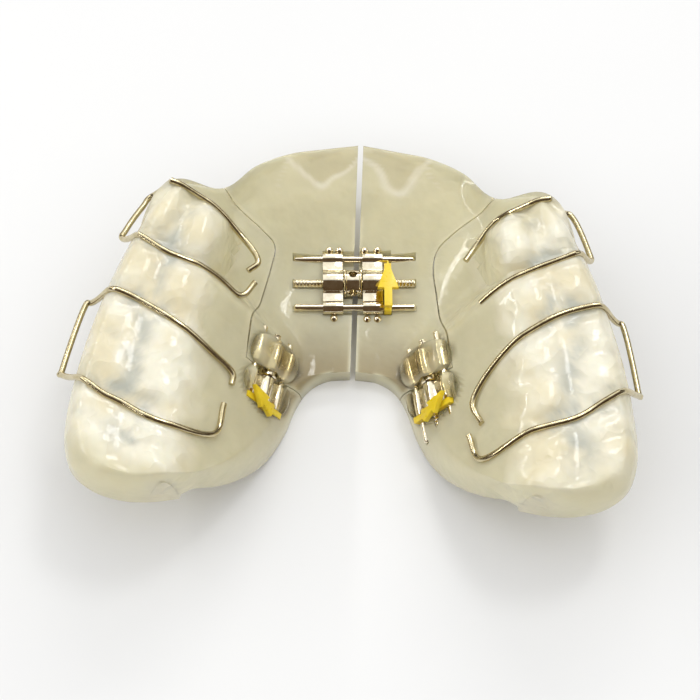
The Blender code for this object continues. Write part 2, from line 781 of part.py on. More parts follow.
def spindle_mesh(sizes):
    """Turn the spindle with its head."""
    rod = sizes.spindle_radius
    head = sizes.head_radius
    face = sizes.head_width / 2.0
    upper = [(rod, face), (head - ROD_CHAMFER, face), (head, face - ROD_CHAMFER)]
    lower = [(radius, -height) for radius, height in reversed(upper)]
    return rod_mesh(sizes, rod, upper + lower, HEAD_SIDES)


def cylinder_mesh(radius, length, sides):
    """Make a plain cylinder on the Z axis."""
    mesh = bpy.data.meshes.new("cylinder")
    solid = bmesh.new()
    bmesh.ops.create_cone(
        solid, cap_ends=True, segments=sides, radius1=radius, radius2=radius, depth=length
    )
    solid.to_mesh(mesh)
    solid.free()
    return mesh


def tab_stem_outlines(sizes):
    """Return the outline of the arrow tab's stem, with the holes that the rods pass through."""
    half_width = sizes.pin_spacing / 2.0 + sizes.sleeve_radius
    top = sizes.barrel_radius + ARROW_CLEARANCE + ARROW_THICKNESS / 2.0
    neck = sizes.sleeve_radius + ARROW_CLEARANCE
    shoulder = sizes.barrel_radius
    shown_end = [(shoulder, top), (-shoulder, top), (-shoulder, neck), (-half_width, neck)]
    if sizes.tab_holds_both_pins:
        return [lower_outline(sizes) + [(half_width, neck), (shoulder, neck)] + shown_end] + bores(sizes)
    low = -sizes.web_thickness / 2.0
    under = [point for point in lower_outline(sizes) if point[0] < shoulder]
    return [under + [(shoulder, low)] + shown_end] + bores(sizes)[:2]


def arrow_outline(sizes, pointing):
    """Return the arrow's outline, which points along the tab."""
    length = sizes.arrow_length
    neck = length * (0.5 - ARROW_HEAD_SHARE)
    half_shaft = sizes.arrow_shaft / 2.0
    half_head = sizes.arrow_width / 2.0
    outline = [
        (-half_shaft, -length / 2.0),
        (half_shaft, -length / 2.0),
        (half_shaft, neck),
        (half_head, neck),
        (0.0, length / 2.0),
        (-half_head, neck),
        (-half_shaft, neck),
    ]
    return [(x, pointing * y) for x, y in outline]


def make_screw(name, ends, pins, sizes, frame, pointing, parts, cutters):
    """Make one expansion screw in its own frame: X along its axis, Y across its pins and Z out of the plate."""
    place = sizes.pin_spacing / 2.0
    for label, offset in zip(pins, (-place, place)):
        matrix = Matrix.Translation((0.0, offset, 0.0)) @ ALONG
        mesh = rod_mesh(sizes, sizes.pin_radius, [], ROD_SIDES)
        add_part(f"{name}_{label}_pin", mesh, STEEL, parts, frame, matrix)
    spindle = add_part(f"{name}_spindle", spindle_mesh(sizes), STEEL, parts, frame, ALONG)
    for turn in (KEY_HOLE_TURN_DEG, KEY_HOLE_TURN_DEG + 90.0):
        hole = cylinder_mesh(sizes.key_hole_radius, sizes.head_radius * 3.0, BORE_SIDES)
        matrix = frame.matrix_world @ Matrix.Rotation(math.radians(-turn), 4, "X")
        add_boolean(spindle, add_cutter(f"{name}_key_hole", hole, cutters, matrix), "DIFFERENCE")
    middle = housing_start(sizes) + sizes.housing_length / 2.0
    for label, offset in zip(ends, (-middle, middle)):
        mesh = outline_mesh([housing_outline(sizes)] + bores(sizes), sizes.housing_length)
        matrix = Matrix.Translation((offset, 0.0, 0.0)) @ ACROSS
        add_part(f"{name}_{label}_housing", mesh, STEEL, parts, frame, matrix)
    at = tab_end(sizes) - sizes.tab_thickness / 2.0
    stem = outline_mesh(tab_stem_outlines(sizes), sizes.tab_thickness)
    tab = add_part(
        f"{name}_arrow_tab", stem, YELLOW, parts, frame, Matrix.Translation((at, 0.0, 0.0)) @ ACROSS
    )
    height = sizes.barrel_radius + ARROW_CLEARANCE + ARROW_THICKNESS / 2.0
    arrow = outline_mesh([arrow_outline(sizes, pointing)], ARROW_THICKNESS)
    turn = Matrix.Rotation(math.radians(pointing * sizes.arrow_turn), 4, "Z")
    matrix = frame.matrix_world @ Matrix.Translation((at, sizes.arrow_shift, height)) @ turn
    add_boolean(tab, add_cutter(f"{name}_arrow", arrow, cutters, matrix), "UNION", "MANIFOLD")


def tunnel_mesh(sizes):
    """Make the three round tunnels that the rods run in."""
    mesh = bpy.data.meshes.new("tunnels")
    solid = bmesh.new()
    length = sizes.rod_length + 2.0 * POCKET_CLEARANCE
    place = sizes.pin_spacing / 2.0
    for offset, radius in ((-place, sizes.pin_radius), (0.0, sizes.spindle_radius), (place, sizes.pin_radius)):
        bmesh.ops.create_cone(
            solid,
            cap_ends=True,
            segments=ROD_SIDES,
            radius1=radius + TUNNEL_CLEARANCE,
            radius2=radius + TUNNEL_CLEARANCE,
            depth=length,
            matrix=Matrix.Translation((sizes.rod_shift, offset, 0.0)) @ ALONG,
        )
    solid.to_mesh(mesh)
    solid.free()
    return mesh


def pocket_mesh(outline, start, end):
    """Make a pocket with a housing's outline between two places along the screw."""
    mesh = outline_mesh([outline], end - start)
    mesh.transform(Matrix.Translation(((start + end) / 2.0, 0.0, 0.0)) @ ACROSS)
    return mesh


def window_mesh(sizes):
    """Make the round room that the screw's head turns in."""
    mesh = cylinder_mesh(
        sizes.head_radius + HEAD_WINDOW_CLEARANCE, sizes.head_width + 2.0 * HEAD_CLEARANCE, HEAD_SIDES
    )
    mesh.transform(ALONG)
    return mesh


def dome_mesh(sizes, offset):
    """Make the rounded swelling of acrylic round a housing."""
    mesh = bpy.data.meshes.new("dome")
    solid = bmesh.new()
    bmesh.ops.create_uvsphere(solid, u_segments=DOME_SIDES, v_segments=DOME_RINGS, radius=1.0)
    for vertex in solid.verts:
        vertex.co /= sum(abs(share) ** DOME_SQUARENESS for share in vertex.co) ** (1.0 / DOME_SQUARENESS)
    reach = sizes.housing_length / 2.0 + DOME_MARGIN
    width = sizes.pin_spacing / 2.0 + sizes.sleeve_radius + DOME_MARGIN
    height = sizes.barrel_radius + DOME_MARGIN
    bmesh.ops.scale(solid, vec=(reach, width, height), verts=solid.verts)
    bmesh.ops.translate(solid, vec=(offset, 0.0, 0.0), verts=solid.verts)
    solid.to_mesh(mesh)
    solid.free()
    return mesh


def offset_path(path, distance):
    """Shift a path sideways, to its left as it runs."""
    shifted = []
    last = len(path) - 1
    for index, point in enumerate(path):
        before = Vector(path[max(index - 1, 0)])
        after = Vector(path[min(index + 1, last)])
        run = (after - before).normalized()
        shifted.append((point[0] - run.y * distance, point[1] + run.x * distance))
    return shifted


def sagittal_centre(side):
    """Return the middle of a side's screw, counted outwards from the midline."""
    x, y = RIGHT_SAGITTAL_SPOT if side > 0 else LEFT_SAGITTAL_SPOT
    rise = RIGHT_SAGITTAL_RISE if side > 0 else LEFT_SAGITTAL_RISE
    return x, y, polished_height(x, y) + rise


def front_region(side, shift):
    """Return the plan outline of all that lies in front of the saw cut."""
    centre = Vector(sagittal_centre(side)[:2])
    splay = math.radians(SAGITTAL_SPLAY_DEG)
    outward = Vector((math.cos(splay), math.sin(splay)))
    path = list(RIGHT_CUT_PATH if side > 0 else LEFT_CUT_PATH)
    path.append(tuple(centre + outward * SLIT_OUTER_REACH))
    path.append(tuple(centre - outward * SLIT_INNER_REACH))
    path = offset_path(path, shift)
    outline = [(-CUTTER_REACH, CUTTER_REACH), (path[0][0], CUTTER_REACH)]
    outline += path
    outline.append((-CUTTER_REACH, path[-1][1]))
    return [(side * x, y) for x, y in outline]


def sagittal_matrix(side):
    """Return the frame of the screw on one side of the plate."""
    splay = math.radians(SAGITTAL_SPLAY_DEG)
    roll = math.radians(SAGITTAL_ROLL_DEG)
    along = Vector((side * math.sin(splay), -math.cos(splay), 0.0))
    outward = Vector((side * math.cos(splay), math.sin(splay), 0.0))
    normal = Vector((0.0, 0.0, math.cos(roll))) - outward * math.sin(roll)
    rotation = Matrix((along, normal.cross(along), normal)).transposed().to_4x4()
    x, y, z = sagittal_centre(side)
    return Matrix.Translation((side * x, y, z)) @ rotation


def transverse_matrix():
    """Return the frame of the screw in the midline."""
    return Matrix.Translation(TRANSVERSE_CENTRE) @ Matrix.Rotation(math.radians(TRANSVERSE_SKEW_DEG), 4, "Z")


def add_frame(name, matrix, collection):
    """Add an empty that carries a screw."""
    frame = bpy.data.objects.new(name, None)
    collection.objects.link(frame)
    frame.matrix_world = matrix
    bpy.context.view_layer.update()
    return frame


def make_cutters(cutters):
    """Make the pockets that the screws sit in."""
    made = {}
    middle = housing_start(SAGITTAL) + SAGITTAL.housing_length / 2.0
    reach = housing_end(SAGITTAL) + POCKET_CLEARANCE
    tab_reach = tab_end(SAGITTAL) + POCKET_CLEARANCE
    closed = housing_outline(SAGITTAL, POCKET_CLEARANCE)
    opened = open_outline(SAGITTAL, POCKET_CLEARANCE)
    for side in (-1, 1):
        matrix = sagittal_matrix(side)
        meshes = {
            "front_dome": dome_mesh(SAGITTAL, -middle),
            "rear_dome": dome_mesh(SAGITTAL, middle),
            "front_pocket": pocket_mesh(closed, -reach, 0.0),
            "rear_pocket": pocket_mesh(opened, 0.0, tab_reach),
            "window": window_mesh(SAGITTAL),
            "tunnels": tunnel_mesh(SAGITTAL),
        }
        for label, mesh in meshes.items():
            made[label, side] = add_cutter(f"{label}_{side}", mesh, cutters, matrix)
        for label, shift in (("front_region", -SAW_KERF / 2.0), ("rear_region", SAW_KERF / 2.0)):
            mesh = outline_mesh([front_region(side, shift)], 2.0 * CUTTER_REACH)
            made[label, side] = add_cutter(f"{label}_{side}", mesh, cutters)
    matrix = transverse_matrix()
    opened = open_outline(TRANSVERSE, POCKET_CLEARANCE)
    meshes = {
        "pocket": pocket_mesh(
            opened, -housing_end(TRANSVERSE) - POCKET_CLEARANCE, tab_end(TRANSVERSE) + POCKET_CLEARANCE
        ),
        "window": window_mesh(TRANSVERSE),
        "tunnels": tunnel_mesh(TRANSVERSE),
    }
    for label, mesh in meshes.items():
        made[label, 0] = add_cutter(f"{label}_middle", mesh, cutters, matrix)
    return made


def make_plates(parts, made):
    """Make the four segments of the plate, and return what the wires lie on."""
    surfaces = {}
    for side, label in ((-1, "left"), (1, "right")):
        mesh = half_plate_mesh(f"half_plate_{label}", side)
        surfaces[side] = surface_tree(mesh)
        front = add_part(f"anterior_{label}_plate", mesh.copy(), ACRYLIC, parts)
        rear = add_part(f"posterior_{label}_plate", mesh, ACRYLIC, parts)
        add_boolean(front, made["front_dome", side], "UNION", "MANIFOLD")
        add_boolean(front, made["front_region", side], "INTERSECT", "MANIFOLD")
        add_boolean(rear, made["rear_dome", side], "UNION", "MANIFOLD")
        add_boolean(rear, made["rear_region", side], "DIFFERENCE", "MANIFOLD")
        for cut in ("front_pocket", "window", "tunnels"):
            add_boolean(front, made[cut, side], "DIFFERENCE", "MANIFOLD")
        for cut in ("rear_pocket", "window", "tunnels"):
            add_boolean(rear, made[cut, side], "DIFFERENCE", "MANIFOLD")
        for cut in ("pocket", "window", "tunnels"):
            add_boolean(front, made[cut, 0], "DIFFERENCE", "MANIFOLD")
    return surfaces


def surface_tree(mesh):
    """Return a search tree over a mesh's faces."""
    solid = bmesh.new()
    solid.from_mesh(mesh)
    tree = BVHTree.FromBMesh(solid)
    solid.free()
    return tree


def clasp_path(clasp, tree):
    """Return the points of a clasp's wire, laid over the plate's surface."""
    first_arm, bridge, second_arm = clasp
    plan = [(*spot, 0.0) for spot in first_arm + bridge + second_arm]
    low = OCCLUSAL_HEIGHT - BRIDGE_DROP
    points = []
    for step in range((len(plan) - 1) * WIRE_STEPS + 1):
        place = step / WIRE_STEPS
        spot = curve_point(plan, place)
        hit = tree.ray_cast((spot.x, spot.y, CUTTER_REACH), (0.0, 0.0, -1.0))[0]
        on_bridge = len(first_arm) - BRIDGE_OVERLAP < place < len(first_arm + bridge) - 1 + BRIDGE_OVERLAP
        height = low if hit is None or on_bridge else hit.z + WIRE_RISE
        points.append((spot.x, spot.y, height))
    for _ in range(WIRE_SMOOTHINGS):
        heights = [point[2] for point in points]
        for index in range(1, len(points) - 1):
            around = (heights[index - 1] + 2.0 * heights[index] + heights[index + 1]) / 4.0
            points[index] = (*points[index][:2], around)
    return points


def make_clasps(parts, cutters, surfaces):
    """Bend the four clasps and cut their grooves in the plate."""
    clasps = (
        ("left_front_clasp", -1, LEFT_FRONT_CLASP),
        ("left_rear_clasp", -1, LEFT_REAR_CLASP),
        ("right_front_clasp", 1, RIGHT_FRONT_CLASP),
        ("right_rear_clasp", 1, RIGHT_REAR_CLASP),
    )
    for name, side, clasp in clasps:
        points = clasp_path(clasp, surfaces[side])
        add_part(name, tube_mesh(points, WIRE_RADIUS, WIRE_BEVEL_STEPS), WIRE, parts)
        plate = parts.objects[f"posterior_{'left' if side < 0 else 'right'}_plate"]
        arm_ends = (len(clasp[0]) * WIRE_STEPS + 1, len(clasp[2]) * WIRE_STEPS + 1)
        for arm in (points[:arm_ends[0]], points[::-1][:arm_ends[1]]):
            overrun = Vector(arm[0]) + (Vector(arm[0]) - Vector(arm[1])).normalized() * WIRE_GROOVE_CLEARANCE
            mesh = groove_mesh([overrun] + arm, WIRE_RADIUS + WIRE_GROOVE_CLEARANCE)
            groove = add_cutter(f"{name}_groove", mesh, cutters)
            add_boolean(plate, groove, "DIFFERENCE", "MANIFOLD")


def centre_on_origin(parts, cutters):
    """Move everything so that the origin is under the middle of the whole, at its lowest point."""
    graph = bpy.context.evaluated_depsgraph_get()
    graph.update()
    spots = []
    for part in parts.objects:
        if part.type == "MESH":
            solid = part.evaluated_get(graph)
            spots += [solid.matrix_world @ vertex.co for vertex in solid.data.vertices]
    low = Vector([min(spot[axis] for spot in spots) for axis in range(3)])
    high = Vector([max(spot[axis] for spot in spots) for axis in range(3)])
    shift = Vector((-(low.x + high.x) / 2.0, -(low.y + high.y) / 2.0, -low.z))
    for item in list(parts.objects) + list(cutters.objects):
        if item.parent is None:
            item.location += shift


def main():
    """Build the whole expander."""
    clear_scene()
    parts = new_collection("sagittal_expander")
    cutters = new_collection("cutters")
    surfaces = make_plates(parts, make_cutters(cutters))
    frame = add_frame("transverse_screw_axis", transverse_matrix(), parts)
    make_screw("transverse_screw", ("left", "right"), ("rear", "front"), TRANSVERSE, frame, 1, parts, cutters)
    for side, label in ((-1, "left"), (1, "right")):
        frame = add_frame(f"{label}_sagittal_screw_axis", sagittal_matrix(side), parts)
        pins = ("lower", "upper") if side > 0 else ("upper", "lower")
        name = f"{label}_sagittal_screw"
        make_screw(name, ("front", "rear"), pins, SAGITTAL, frame, side, parts, cutters)
    make_clasps(parts, cutters, surfaces)
    centre_on_origin(parts, cutters)


main()
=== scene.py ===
import json
import math
from collections import namedtuple

import bmesh
import bpy
from mathutils import Matrix, Vector, noise
from mathutils.bvhtree import BVHTree
from mathutils.kdtree import KDTree


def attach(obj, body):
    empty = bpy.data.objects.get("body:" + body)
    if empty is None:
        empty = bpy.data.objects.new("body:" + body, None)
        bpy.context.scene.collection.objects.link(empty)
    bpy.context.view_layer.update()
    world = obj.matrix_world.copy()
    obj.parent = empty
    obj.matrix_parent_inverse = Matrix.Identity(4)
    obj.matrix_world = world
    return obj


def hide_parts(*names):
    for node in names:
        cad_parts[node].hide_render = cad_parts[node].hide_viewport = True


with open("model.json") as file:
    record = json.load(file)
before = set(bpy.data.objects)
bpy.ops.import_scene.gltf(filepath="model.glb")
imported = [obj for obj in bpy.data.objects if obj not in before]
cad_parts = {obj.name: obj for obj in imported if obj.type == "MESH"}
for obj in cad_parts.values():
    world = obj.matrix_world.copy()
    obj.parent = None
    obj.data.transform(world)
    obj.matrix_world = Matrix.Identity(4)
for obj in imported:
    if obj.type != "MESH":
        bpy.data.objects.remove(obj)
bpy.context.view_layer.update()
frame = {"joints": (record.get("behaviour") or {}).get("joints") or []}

JOINTS = {joint["name"]: joint for joint in frame["joints"]}

# Heights above the resting face, in metres as all lengths here
OCCLUSAL_HEIGHT = 0.014
FLOOR_THICKNESS = 0.0022
EDGE_THICKNESS = 0.0005
SIDE_GUM_DROP = 0.005
FRONT_GUM_DROP = 0.008

# The vault under the plate: a superellipse in plan, flat in the middle and rising to its rim
VAULT_HALF_WIDTH = 0.0163
VAULT_REACH = 0.0282
VAULT_CENTRE_Y = -0.006
VAULT_POWER = 3.0
VAULT_FLARE = 0.05
VAULT_FLOOR_SHARE = 0.55
VAULT_BLEND_SHARE = 0.12

# The row of crown forms on each rear block
ROW_HALF_WIDTH = 0.0242
ROW_WIDEST_Y = -0.02
ROW_BEND = 5.0
ROW_SLANT = 0.4
TOOTH_LIMITS_Y = (0.014, 0.0064, -0.0006, -0.012, -0.0206)
PREMOLAR_HALF_WIDTH = 0.0044
MOLAR_HALF_WIDTH = 0.0056
EMBRASURE_DEPTH = 0.0018
EMBRASURE_NECK = 0.18
FISSURE_DEPTH = 0.0011
CUSP_GROOVE_DEPTH = 0.0007
EMBRASURE_WIDTH = 0.0013
FISSURE_SHARE = 0.28
CUSP_GROOVE_WIDTH = 0.0009
CROWN_SQUARENESS = 5.0
PREMOLAR_BLEND = 0.002
END_SLOPE = 0.0014

# The scallops of the front edge, and the slope that it climbs
FRONT_TOOTH_LIMITS_X = (0.0, 0.0082, 0.0128, 0.0172)
LINGUAL_SLOPE = 0.9
CINGULUM_HEIGHT = 0.0006
CINGULUM_REACH = 0.001

# The polished side: height over the occlusal plane, as a share of the vault's depth, against distance
# from the vault's centre
SIDE_PROFILE = (
    (0.0, -1.0), (0.0056, -0.996), (0.0074, -0.932), (0.0092, -0.78), (0.0112, -0.559),
    (0.0135, -0.322), (0.016, -0.11), (0.0185, 0.034), (0.021, 0.097), (0.024, 0.106),
    (0.06, 0.106),
)
FRONT_PROFILE = (
    (0.0, -1.0), (0.015, -1.0), (0.0185, -0.97), (0.022, -0.814), (0.0255, -0.61),
    (0.0298, -0.432), (0.06, -0.415),
)
FRONT_TURN = (0.45, 0.8)
OUTER_RELIEF_SHARE = 0.35
SHOULDER_RADIUS = 0.0024
LEAST_THICKNESS = 0.0012
CROSSING_RADIUS = 0.0007
TINY = 1e-9

# Saw cuts
MIDLINE_GAP = 0.0006
SAW_KERF = 0.00015
LEFT_CUT_PATH = (
    (0.0178, 0.0188), (0.0155, 0.0167), (0.013, 0.015), (0.011, 0.0138), (0.0095, 0.0124),
    (0.0098, 0.01), (0.0107, 0.006), (0.0114, 0.0018), (0.0118, -0.0018),
)
RIGHT_CUT_PATH = (
    (0.0176, 0.018), (0.015, 0.0163), (0.0127, 0.0151), (0.011, 0.0141), (0.0094, 0.0127),
    (0.0089, 0.0106), (0.0094, 0.0072), (0.01, 0.0028), (0.0106, -0.0014),
)
SLIT_OUTER_REACH = 0.0024
SLIT_INNER_REACH = 0.0048
CUT_STEPS = 6

# The plate's outline in plan: places down the midline, the throat, and the rim with its height over the
# occlusal plane, matched in order
MIDLINE_Y = (0.016, 0.0145, 0.0128, 0.011, 0.009, 0.0072, 0.0054, 0.0034, 0.0013, -0.0008, -0.0023)
THROAT = (
    (0.0028, -0.0026), (0.0049, -0.0039), (0.0063, -0.0062), (0.0074, -0.0093), (0.0088, -0.0121),
    (0.01, -0.0139), (0.0114, -0.0156), (0.013, -0.0172), (0.0148, -0.0186),
)
RIM = (
    (0.0003, 0.0238, -0.0061), (0.0042, 0.0231, -0.006), (0.0082, 0.0222, -0.0058),
    (0.012, 0.0202, -0.0054), (0.0153, 0.0168, -0.0046), (0.0204, 0.0153, -0.0026),
    (0.0234, 0.0125, -0.0032), (0.0254, 0.0082, -0.0034), (0.0271, 0.0038, -0.0033),
    (0.0284, -0.0005, -0.0032), (0.0294, -0.0042, -0.0032), (0.0301, -0.0076, -0.0032),
    (0.0306, -0.0108, -0.0032), (0.0309, -0.0138, -0.0032), (0.0308, -0.0168, -0.0033),
    (0.0298, -0.0193, -0.0036), (0.0274, -0.021, -0.0042), (0.0243, -0.0217, -0.0047),
    (0.0213, -0.0215, -0.0052), (0.0184, -0.0207, -0.006),
)
FLANGE_THICKNESS = 0.0012
EDGE_ROUND = 0.0018
RIM_ROUND = 0.0024
SHORT_SECTION = 0.007

# How finely the plates are drawn
SECTIONS_PER_SPAN = 8
EDGE_STEPS = 8
OUTER_STEPS = 44
RIM_STEPS = 14
CROWN_STEPS = (0.0014, 0.0018, 0.0026)
FLANGE_STEPS = 4
INNER_STEPS = 44


def smooth_step(low, high, value):
    """Return 0 below low, 1 above high and an S-shaped ramp between."""
    share = min(max((value - low) / (high - low), 0.0), 1.0)
    return share * share * (3.0 - 2.0 * share)


def bell(distance, width):
    """Return a rounded bump that is 1 at no distance."""
    return math.exp(-(distance / width) ** 2)


def profile_height(profile, distance):
    """Read the smooth curve through a profile's points."""
    last = len(profile) - 1
    index = 0
    while index < last - 1 and distance > profile[index + 1][0]:
        index += 1

    def slope(at):
        before = profile[max(at - 1, 0)]
        after = profile[min(at + 1, last)]
        return (after[1] - before[1]) / (after[0] - before[0])

    start = profile[index]
    end = profile[index + 1]
    width = end[0] - start[0]
    share = min(max((distance - start[0]) / width, 0.0), 1.0)
    square = share * share
    cube = square * share
    return (
        start[1] * (2.0 * cube - 3.0 * square + 1.0)
        + end[1] * (3.0 * square - 2.0 * cube)
        + slope(index) * width * (cube - 2.0 * square + share)
        + slope(index + 1) * width * (cube - square)
    )


def curve_point(points, place):
    """Read the smooth curve through points at a place counted in spans."""
    last = len(points) - 1
    index = min(int(place), last - 1)
    share = place - index
    start = Vector(points[index])
    end = Vector(points[index + 1])
    before = Vector(points[index - 1]) if index > 0 else 2.0 * start - end
    after = Vector(points[index + 2]) if index + 2 <= last else 2.0 * end - start
    return 0.5 * (
        2.0 * start
        + share * (end - before)
        + share ** 2 * (2.0 * before - 5.0 * start + 4.0 * end - after)
        + share ** 3 * (3.0 * start - before - 3.0 * end + after)
    )


def soft_maximum(first, second):
    """Return the larger of two heights, with a rounded crossing."""
    return (first + second + math.hypot(first - second, CROSSING_RADIUS)) / 2.0


def frontness(x, y):
    """Return 0 beside the vault's centre and 1 in front of it."""
    forward = max(y - VAULT_CENTRE_Y, 0.0)
    return smooth_step(*FRONT_TURN, forward / max(math.hypot(x, forward), TINY))


def row_place(x, y, margin=0.0):
    """Return a point's place along the row of crown forms, its offset across it in half widths, and how far
    it is from the nearest seam."""
    row_x = ROW_HALF_WIDTH - ROW_BEND * (y - ROW_WIDEST_Y) ** 2
    along = y - ROW_SLANT * (x - row_x)
    molar = smooth_step(-PREMOLAR_BLEND, PREMOLAR_BLEND, TOOTH_LIMITS_Y[2] - along)
    half_width = PREMOLAR_HALF_WIDTH + (MOLAR_HALF_WIDTH - PREMOLAR_HALF_WIDTH) * molar + margin
    contact = min(abs(along - limit) for limit in TOOTH_LIMITS_Y[1:-1])
    half_width *= 1.0 - EMBRASURE_NECK * bell(contact, EMBRASURE_WIDTH)
    return along, (x - row_x) / half_width, contact


def crown_share(x, y, margin=0.0):
    """Return how far the crown forms, grown by a margin, stand up: 0 beside the row and 1 on top of it."""
    along, across, _ = row_place(x, y, margin)
    slope = END_SLOPE + 2.0 * margin
    side = math.sqrt(max(1.0 - abs(across) ** CROWN_SQUARENESS, 0.0))
    front = math.sqrt(1.0 - smooth_step(0.0, slope, along - TOOTH_LIMITS_Y[0] - margin + slope))
    back = math.sqrt(1.0 - smooth_step(0.0, slope, TOOTH_LIMITS_Y[-1] - margin - along + slope))
    return side * front * back


def crown_relief(x, y):
    """Return the depth of the grooves between and across the crown forms."""
    along, across, contact = row_place(x, y)
    middle = [(a + b) / 2.0 for a, b in zip(TOOTH_LIMITS_Y, TOOTH_LIMITS_Y[1:])]
    groove = max(bell(along - at, CUSP_GROOVE_WIDTH) for at in middle[2:])
    seam = bell(contact, EMBRASURE_WIDTH)
    depth = EMBRASURE_DEPTH * seam + FISSURE_DEPTH * bell(across, FISSURE_SHARE) * (1.0 - seam)
    return depth + CUSP_GROOVE_DEPTH * groove * min(abs(across), 1.0)


def front_tooth_bulge(x):
    """Return 1 on the middle of each scallop of the front edge and 0 between two."""
    for low, high in zip(FRONT_TOOTH_LIMITS_X, FRONT_TOOTH_LIMITS_X[1:]):
        if abs(x) <= high:
            return math.sin(math.pi * (abs(x) - low) / (high - low)) ** 2
    return 0.0


def vault_share(x, y):
    """Return how far out a point lies in the vault, with 1 on its rim."""
    forward = max(y - VAULT_CENTRE_Y, 0.0)
    half_width = VAULT_HALF_WIDTH + VAULT_FLARE * max(VAULT_CENTRE_Y - y, 0.0)
    return ((x / half_width) ** VAULT_POWER + (forward / VAULT_REACH) ** VAULT_POWER) ** (1.0 / VAULT_POWER)


def tissue_height(x, y, margin=0.0):
    """Return the height of the plate's underside, with the crown forms grown by a margin."""
    x = abs(x)
    share = vault_share(x, y)
    front = frontness(x, y)
    gum = OCCLUSAL_HEIGHT - SIDE_GUM_DROP - (FRONT_GUM_DROP - SIDE_GUM_DROP) * front
    rise = min(share, 1.0) - VAULT_FLOOR_SHARE
    if rise < VAULT_BLEND_SHARE:
        rise = max(rise + VAULT_BLEND_SHARE, 0.0) ** 2 / (4.0 * VAULT_BLEND_SHARE)
    height = gum * rise / (1.0 - VAULT_FLOOR_SHARE)
    beyond = (share - 1.0) * VAULT_REACH
    height += front * max(beyond, 0.0) * LINGUAL_SLOPE
    height -= front * CINGULUM_HEIGHT * front_tooth_bulge(x) * bell(beyond - CINGULUM_REACH, CINGULUM_REACH)
    crown = (OCCLUSAL_HEIGHT - height) * crown_share(x, y, margin)
    if crown <= 0.0:
        return height
    return height + max(crown - crown_relief(x, y), 0.0)


def polished_height(x, y):
    """Return the height of the polished side, away from its rounded edges."""
    x = abs(x)
    distance = math.hypot(x, max(y - VAULT_CENTRE_Y, 0.0))
    front = frontness(x, y)
    side = profile_height(SIDE_PROFILE, distance)
    ahead = profile_height(FRONT_PROFILE, distance)
    relief = OUTER_RELIEF_SHARE * crown_relief(x, y) * crown_share(x, y)
    depth = OCCLUSAL_HEIGHT - FLOOR_THICKNESS
    height = OCCLUSAL_HEIGHT + depth * (side + (ahead - side) * front) - relief
    return soft_maximum(height, tissue_height(x, y, LEAST_THICKNESS) + LEAST_THICKNESS)


def section(inner, rim, has_round_edge):
    """Return one closed loop: over the polished side to the rim, then back along the underside."""
    start, end = Vector(inner[:2]), Vector(rim[:2])
    rim_height = OCCLUSAL_HEIGHT + rim[2]
    length = (end - start).length
    run = (end - start) / length
    top = rim_height + EDGE_THICKNESS
    beside_row = rim[0] > FRONT_TOOTH_LIMITS_X[-1]
    points = []

    def spot_at(distance):
        return start + run * distance

    def underside(distance):
        height = tissue_height(*spot_at(distance))
        if distance >= length:
            return rim_height
        if beside_row and length - distance <= FLANGE_THICKNESS:
            return max(height, rim_height)
        return height

    fit = min(length / SHORT_SECTION, 1.0)
    edge = EDGE_ROUND * fit
    round_rim = RIM_ROUND * fit
    places = [edge * (step / EDGE_STEPS) ** 2 for step in range(EDGE_STEPS + 1)]
    spare = length - edge - round_rim
    places += [edge + spare * step / OUTER_STEPS for step in range(1, OUTER_STEPS + 1)]
    places += [length - round_rim * (step / RIM_STEPS) ** 2 for step in reversed(range(RIM_STEPS))]
    for distance in places:
        height = polished_height(*spot_at(distance))
        low = underside(distance) + EDGE_THICKNESS
        if has_round_edge:
            share = min(distance / EDGE_ROUND, 1.0)
            height = low + (height - low) * math.sqrt(1.0 - (1.0 - share) ** 2)
        share = min((length - distance) / SHOULDER_RADIUS, 1.0)
        height = top + (height - top) * math.sqrt(max(1.0 - (1.0 - share) ** 2, 0.0))
        points.append((*spot_at(distance), max(height, low)))
    flange = [FLANGE_THICKNESS * step / FLANGE_STEPS for step in range(FLANGE_STEPS + 1)]
    places = [length - step for step in flange + list(CROWN_STEPS)]
    spare = length - CROWN_STEPS[-1]
    places += [spare * (1.0 - step / INNER_STEPS) for step in range(1, INNER_STEPS + 1)]
    return points + [(*spot_at(distance), underside(distance)) for distance in places]


# The screws' sizes: first the middle screw's, then the side screws'. Each screw has its own frame: X along
# its axis, Y across its pins, Z out of the plate
SCREW_SIZES = {
    "pin_spacing": (0.0062, 0.0047),
    "pin_radius": (0.00042, 0.00036),
    "rod_length": (0.0141, 0.0118),
    "rod_shift": (0.0002, 0.0009),
    "spindle_radius": (0.00052, 0.00044),
    "head_radius": (0.00165, 0.00115),
    "head_width": (0.0021, 0.001),
    "sleeve_radius": (0.0008, 0.00066),
    "barrel_radius": (0.0016, 0.001),
    "housing_length": (0.0023, 0.0028),
    "web_thickness": (0.0011, 0.00085),
    "key_hole_radius": (0.0005, 0.0003),
    "tab_thickness": (0.0008, 0.00066),
    "arrow_shaft": (0.0009, 0.00074),
    "arrow_length": (0.0058, 0.0042),
    "arrow_width": (0.0024, 0.0018),
    "arrow_shift": (-0.00105, 0.0012),
    "arrow_turn": (0.0, 27.0),
    "tab_holds_both_pins": (False, True),
}
ScrewSizes = namedtuple("ScrewSizes", SCREW_SIZES)
TRANSVERSE, SAGITTAL = (ScrewSizes(*column) for column in zip(*SCREW_SIZES.values()))
TRANSVERSE_RISE = 0.0004
TRANSVERSE_CENTRE = (-0.00035, 0.0088, FLOOR_THICKNESS + TRANSVERSE_RISE)

